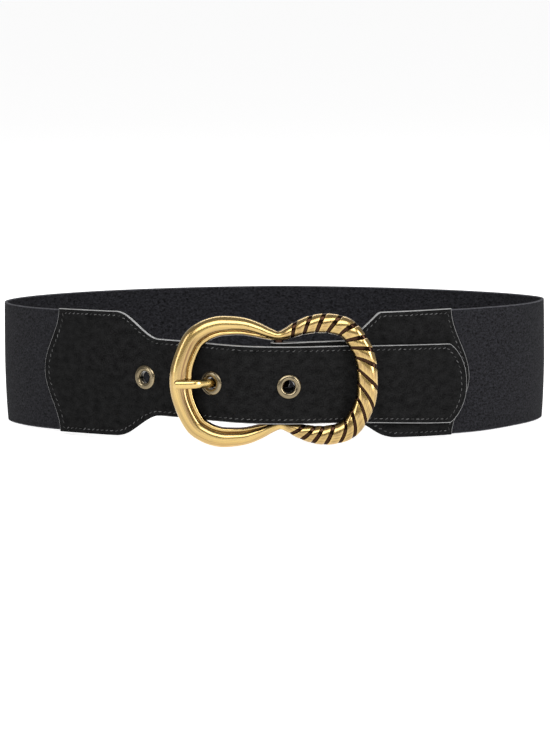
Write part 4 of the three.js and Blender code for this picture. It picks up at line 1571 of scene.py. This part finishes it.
def shade_round_bar(piece, plan, radius):
    """Paints shade on what lies round the bar, tucked inside the fold: it is marked like the
    grooves, so that the darkest brown covers it.
    """
    points = np.empty(3 * len(piece.data.vertices))
    piece.data.vertices.foreach_get("co", points)
    x, y, z = points.reshape(-1, 3).T
    axis = plan.shift[:2] + plan.bar
    near = np.hypot(x - axis[0], y - axis[1]) < radius + BAR_TOLERANCE
    attribute = piece.data.attributes[PLACE]
    place = np.empty(len(points), np.float32)
    attribute.data.foreach_get("vector", place)
    place = place.reshape(-1, 3)
    place[near] = np.stack([z[near], x[near], np.ones(near.sum())], 1)
    attribute.data.foreach_set("vector", place.ravel())


class BELT_OT_buckle(bpy.types.Operator):
    """Build the cast buckle: smooth lobe, rope lobe and bar"""

    bl_idname = "belt.build_buckle"
    bl_label = "Buckle"

    def execute(self, context):
        scene = context.scene
        plan = Plan(scene)
        settings = scene.belt_buckle
        wire = Wire(plan, settings)
        angles = round_angles(settings.sides, 0.5)
        lateral = np.cos(angles)[None, :]

        start, end = wire.low_waist, len(wire.rows) + wire.waist
        smooth_places = np.linspace(start, end, 261)[1:-1, None] + 0 * lateral

        centres = ROPE_GROOVES[:, 0] * wire.rope_length
        halves = table_value(wire.rows, 2, wire.rope_place(centres)) * settings.height / 2
        leads = ROPE_GROOVES[:, 1] * halves
        stops = np.concatenate([[0], centres, [wire.rope_length]])
        stop_leads = np.concatenate([[0], leads, [0]])
        width = settings.groove_width / 2
        across = GROOVE_COLUMNS * width
        distance, sink, groove_and_shade, shares = [], [], [], []
        for i in range(len(stops) - 1):
            gap = stops[i + 1] - stops[i]
            inner = np.linspace(width, gap - width, 9)[1:-1]
            local = np.concatenate([across[i == 0 :], inner, gap - across[:0:-1]])
            if i == 0:
                local = np.linspace(0, gap - width, 6)[:-1]
                local = np.concatenate([local, gap - across[::-1][:-1]])
            if i == len(stops) - 2:
                local = np.concatenate([across, np.linspace(width, gap, 6)[1:]])
            from_start = np.clip(1 - local / width, 0, 1) if i else 0 * local
            to_end = (gap - local) / width
            to_end = np.clip(1 - to_end, 0, 1) if i < len(stops) - 2 else 0 * local
            near = np.maximum(from_start, to_end)
            cut = ease(near / GROOVE_WALL)
            shares.append(np.clip(local / gap, 0, 1))
            strand = np.sin(math.pi * shares[-1]) ** STRAND_POWER
            distance.append(stops[i] + local)
            sink.append(settings.groove_depth * cut - settings.crest * strand * (1 - cut))
            groove_and_shade.append(cut)
        columns = [np.concatenate(part) for part in (distance, sink, groove_and_shade, shares)]
        fresh = np.concatenate([[True], np.diff(columns[0]) > 1e-7])
        distance, sink, groove_and_shade, strand_share = (column[fresh] for column in columns)
        lead = np.interp(distance, stops, stop_leads)
        slanted = distance[:, None] + lead[:, None] * lateral
        fade = ease(distance / ROPE_FADE) * ease((wire.rope_length - distance) / ROPE_FADE)
        rope_places = wire.rope_place(slanted)

        smooth_rings, smooth_round = wire.rings(smooth_places, 0 * smooth_places)
        rope_rings, rope_round = wire.rings(rope_places, (sink * fade)[:, None] + 0 * lateral)
        rings = np.concatenate([rope_rings, smooth_rings])
        wire_round = np.concatenate([rope_round, smooth_round])
        place = ring_place(rings, distances(rings.mean(1))[:, None], wire_round)
        # Painted shade along each strand's crest, joined to the grooves' dark mask
        groove_and_shade = np.maximum(groove_and_shade, STRAND_SHADE * np.sin(np.pi * strand_share) ** 2)
        place[: len(groove_and_shade), :, 2] = (groove_and_shade * fade)[:, None]
        # Painted shade on the smooth lobe's front, in darker reflection bands across the wire
        front = np.sin(angles) > 0
        shade = np.interp(lateral[0], SMOOTH_SHADE[:, 0], SMOOTH_SHADE[:, 1])
        # Painted shade down the smooth lobe's left side
        aside = ease((-rings[len(groove_and_shade) :, :, 0] / settings.width - SIDE_START) / SIDE_RUN)
        brown = settings.side_shade * aside * bump(lateral, SIDE_PLACE, SIDE_WIDTH)
        place[len(groove_and_shade) :, :, 2] = np.maximum(shade, brown) * front
        materials = [gold_material(settings.tint, settings.patina_and_shade)]
        faces = loft(rings, closed=True)
        piece = add_piece("cast_buckle", rings + plan.shift, faces, place, materials)

        reach = FRAME_ROWS[wire.waist, 1] * settings.height / 2
        angles = round_angles(40)
        x = plan.bar[0] + settings.bar_radius * np.cos(angles)
        y = plan.bar[1] + settings.bar_radius * np.sin(angles)
        heights = [plan.centre + side * reach for side in (-1, -0.5, 0, 0.5, 1)]
        bar = np.stack([np.stack([x, y, 0 * x + height], 1) for height in heights])
        place = ring_place(bar, bar[..., 2], settings.bar_radius * angles)
        other = add_piece("bar", bar + plan.shift, loft(bar, capped=True), place, materials)
        combine(piece, [other], "UNION")
        # Painted shade on the bar, tucked inside the fold
        shade_round_bar(piece, plan, settings.bar_radius)
        finish_piece(piece, ["buckle_frame"])
        return {"FINISHED"}


class BELT_OT_prong(bpy.types.Operator):
    """Build the prong with its eye round the bar"""

    bl_idname = "belt.build_prong"
    bl_label = "Prong"

    def execute(self, context):
        scene = context.scene
        plan = Plan(scene)
        settings, buckle = scene.belt_prong, scene.belt_buckle
        stop = plan.eyelet_stops(scene)[scene.belt_eyelet.before]
        height = plan.eyelet_height(scene, stop)
        angles = round_angles(settings.sides, 0.5)
        across, up = np.cos(angles), np.sin(angles)

        def section(spot, out, share):
            shift = settings.thickness / 2 * share[:, None] * across
            flat = spot[:, None, :] + out[:, None, :] * shift[..., None]
            rise = height + settings.width / 2 * share[:, None] * up
            return np.concatenate([flat, rise[..., None]], -1)

        radius = buckle.bar_radius + settings.gap + settings.thickness / 2
        turn = round_angles(56)
        out = np.stack([np.cos(turn), np.sin(turn)], 1)
        eye = section(plan.bar + radius * out, out, np.ones(len(turn)))

        route = Route(plan.beside(PRONG_ROWS))
        tip = settings.rounding * (1 - np.cos(np.linspace(0, math.pi / 2, 9)))
        straight = np.linspace(0, route.total - settings.rounding, 90)
        along = np.concatenate([straight, route.total - tip[::-1][1:]])
        to_tip = route.total - along
        taper = mix(1, settings.tip_share, ease(1 - to_tip / settings.taper))
        ended = 1 - np.clip(to_tip / settings.rounding, 0, 1)
        spot, out = route.at(along)
        shank = section(spot, out, taper * np.sqrt(np.clip(1.002 - ended**2, 0, 1)))

        materials = [bpy.data.materials["belt_antique_gold"]]
        pieces = []
        for name, rings, run, closed in (
            ("cast_prong", shank, along, False),
            ("eye", eye, radius * turn, True),
        ):
            place = ring_place(rings, run[:, None], settings.width / 2 * angles)
            faces = loft(rings, closed=closed, capped=not closed)
            pieces.append(add_piece(name, rings + plan.shift, faces, place, materials))
        combine(pieces[0], pieces[1:], "UNION")
        # Painted shade on the prong's eye round the bar, inside the fold
        shade_round_bar(pieces[0], plan, radius + settings.thickness / 2)
        finish_piece(pieces[0], ["buckle_prong"])
        return {"FINISHED"}


class BELT_OT_eyelets(bpy.types.Operator):
    """Build the eyelets with their rolled lips"""

    bl_idname = "belt.build_eyelets"
    bl_label = "Eyelets"

    def execute(self, context):
        scene = context.scene
        plan = Plan(scene)
        settings = scene.belt_eyelet
        outer, hole = settings.outer / 2, settings.hole / 2
        barrel, back = settings.barrel / 2, settings.back / 2
        face = scene.belt_leather.layer
        crown, foot = settings.crown, settings.foot
        # Rows of radius, height and darkening. The darkening is painted shade down the hole, under
        # the rolled foot and where the flange meets the leather, and dark polish in the small
        # hollow of the lip
        profile = np.array(
            [
                (hole * 1.01, -face - foot * 0.4, 0.75),
                (hole * 1.06, -face - foot * 0.85, 0.3),
                (mix(hole, back, 0.3), -face - foot, 0.1),
                (mix(hole, back, 0.6), -face - foot * 0.8, 0.1),
                (back, -face - foot * 0.35, 0.2),
                (back, -face, 0.5),
                (barrel, -face, 0.6),
                (barrel, face, 0.6),
                (outer * 0.985, face, 0.6),
                (outer, face + crown * 0.14, 0.3),
                (outer * 0.985, face + crown * 0.28, 0.0),
                (outer * 0.95, face + crown * 0.42, 0.0),
                (outer * 0.88, face + crown * 0.6, 0.0),
                (outer * 0.8, face + crown * 0.72, 0.35),
                (outer * 0.76, face + crown * 0.7, 0.7),
                (outer * 0.72, face + crown * 0.8, 0.35),
                (outer * 0.66, face + crown * 0.76, 0.1),
                (outer * 0.6, face + crown * 0.62, 0.0),
                (outer * 0.55, face + crown * 0.42, 0.0),
                (outer * 0.515, face + crown * 0.16, 0.1),
                (hole, face * 0.6, 0.5),
                (hole, face * 0.2, 1.0),
                (hole, -face * 0.5, 1.0),
            ]
        )
        angles = round_angles(settings.sides)
        radius, height, dark = profile.T
        x = radius[None, :] * np.cos(angles)[:, None]
        y = radius[None, :] * np.sin(angles)[:, None]
        rings = np.stack([x, y, height[None, :] + 0 * x], -1)
        run = np.cumsum(np.hypot(np.diff(radius, prepend=hole), np.diff(height, prepend=0)))
        place = ring_place(rings, radius * angles[:, None], run, dark * 0.8)
        materials = [brass_material(settings.tint)]
        for i, stop in enumerate(plan.eyelet_stops(scene)):
            points = turned(rings.reshape(-1, 3), strap_matrix(scene, plan, stop))
            spread = place.reshape(-1, 3) + (0.05 * i, 0, 0)
            faces = loft(rings, closed=True)
            piece = add_piece(f"eyelet_ring_{i + 1}", points, faces, spread, materials)
            finish_piece(piece, [f"eyelet_{i + 1}"])
        return {"FINISHED"}


LIGHTS = (
    # name, place, size across, size up, power in watts
    ("top_box", (0.05, -1.2, 0.86), 1.5, 0.66, 13.0),
    ("back_box", (0.0, 0.75, 1.15), 1.6, 0.35, 6.0),
    ("left_box", (-1.2, -0.8, 0.42), 0.3, 0.8, 3.6),
    ("right_box", (1.25, -0.95, 0.4), 0.3, 0.9, 9.0),
)


class BELT_OT_stage(bpy.types.Operator):
    """Set the floor, the lights and the camera"""

    bl_idname = "belt.set_stage"
    bl_label = "Stage"

    def execute(self, context):
        scene = context.scene
        stage = scene.belt_stage
        angles = round_angles(FLOOR_SIDES)
        rim = np.stack([np.cos(angles), np.sin(angles), 0 * angles], 1) * stage.floor_radius
        mesh = bpy.data.meshes.new("floor")
        mesh.from_pydata(rim.tolist(), [], [list(range(FLOOR_SIDES))])
        mesh.materials.append(floor_material(stage.floor_tint, stage.floor_glow))
        floor = bpy.data.objects.new("floor", mesh)
        scene.collection.objects.link(floor)

        world = bpy.data.worlds.new("studio")
        world.use_nodes = True
        scene.world = world
        tree = world.node_tree
        tree.nodes.clear()
        facing = split(tree, node(tree, "TexCoord").outputs["Generated"])[1]
        bright = shift_node(tree, facing, -0.95, 0.6, stage.front_sky, stage.sky)
        ground = node(tree, "Background", {"Color": (1, 1, 1, 1), "Strength": bright})
        node(tree, "OutputWorld", {"Surface": ground.outputs[0]})

        for name, place, across, up, power in LIGHTS:
            light = bpy.data.lights.new(name, "AREA")
            light.shape = "RECTANGLE"
            light.size, light.size_y = across, up
            light.energy = power
            lamp = bpy.data.objects.new(name, light)
            lamp.location = place
            aim = Vector((*LIGHT_AIM, stage.target_height)) - Vector(place)
            lamp.rotation_euler = aim.to_track_quat("-Z", "Y").to_euler()
            lamp.visible_camera = False
            scene.collection.objects.link(lamp)

        plan = Plan(scene)
        camera = bpy.data.cameras.new("camera")
        camera.lens = stage.lens
        camera.sensor_width = 36
        camera.sensor_fit = "HORIZONTAL"
        camera.shift_x, camera.shift_y = stage.shift_x, stage.shift_y
        camera.clip_start, camera.clip_end = 0.1, 60
        eye = bpy.data.objects.new("camera", camera)
        target = Vector((plan.shift[0], plan.shift[1], stage.target_height))
        back = Vector((0, -math.cos(stage.elevation), math.sin(stage.elevation)))
        eye.location = target + stage.distance * back
        look = (-back).to_track_quat("-Z", "Y").to_matrix()
        turn = look @ Euler((0, 0, stage.roll)).to_matrix()
        eye.rotation_euler = turn.to_euler()
        scene.collection.objects.link(eye)
        scene.camera = eye
        scene.view_settings.view_transform = "Standard"
        scene.view_settings.look = "None"
        scene.view_settings.exposure = 0
        scene.view_settings.gamma = 1
        return {"FINISHED"}


OPERATORS = (
    BELT_OT_band,
    BELT_OT_left_tab,
    BELT_OT_right_tab,
    BELT_OT_buckle,
    BELT_OT_prong,
    BELT_OT_eyelets,
    BELT_OT_stage,
)


class BELT_PT_looks(bpy.types.Panel):
    """Buttons and settings of the belt"""

    bl_idname = "BELT_PT_looks"
    bl_label = "Elastic Stretch Belt"
    bl_space_type = "VIEW_3D"
    bl_region_type = "UI"
    bl_category = "Belt"

    def draw(self, context):
        buttons = self.layout.column(align=True)
        for operator in OPERATORS:
            buttons.operator(operator.bl_idname)
        for group, settings in GROUPS.items():
            box = self.layout.box()
            box.label(text=settings.__doc__)
            for key in settings.__annotations__:
                box.prop(getattr(context.scene, group), key)


def register():
    """Registers the settings, the operators and the panel."""
    for group, settings in GROUPS.items():
        bpy.utils.register_class(settings)
        setattr(bpy.types.Scene, group, PointerProperty(type=settings))
    for operator in OPERATORS:
        bpy.utils.register_class(operator)
    bpy.utils.register_class(BELT_PT_looks)


def unregister():
    """Removes what register() added."""
    bpy.utils.unregister_class(BELT_PT_looks)
    for operator in reversed(OPERATORS):
        bpy.utils.unregister_class(operator)
    for group, settings in reversed(GROUPS.items()):
        delattr(bpy.types.Scene, group)
        bpy.utils.unregister_class(settings)


def main():
    """Builds every piece and the stage."""
    register()
    bpy.ops.belt.build_band()
    bpy.ops.belt.build_left_tab()
    bpy.ops.belt.build_right_tab()
    bpy.ops.belt.build_buckle()
    bpy.ops.belt.build_prong()
    bpy.ops.belt.build_eyelets()
    bpy.ops.belt.set_stage()


if __name__ == "__main__":
    main()
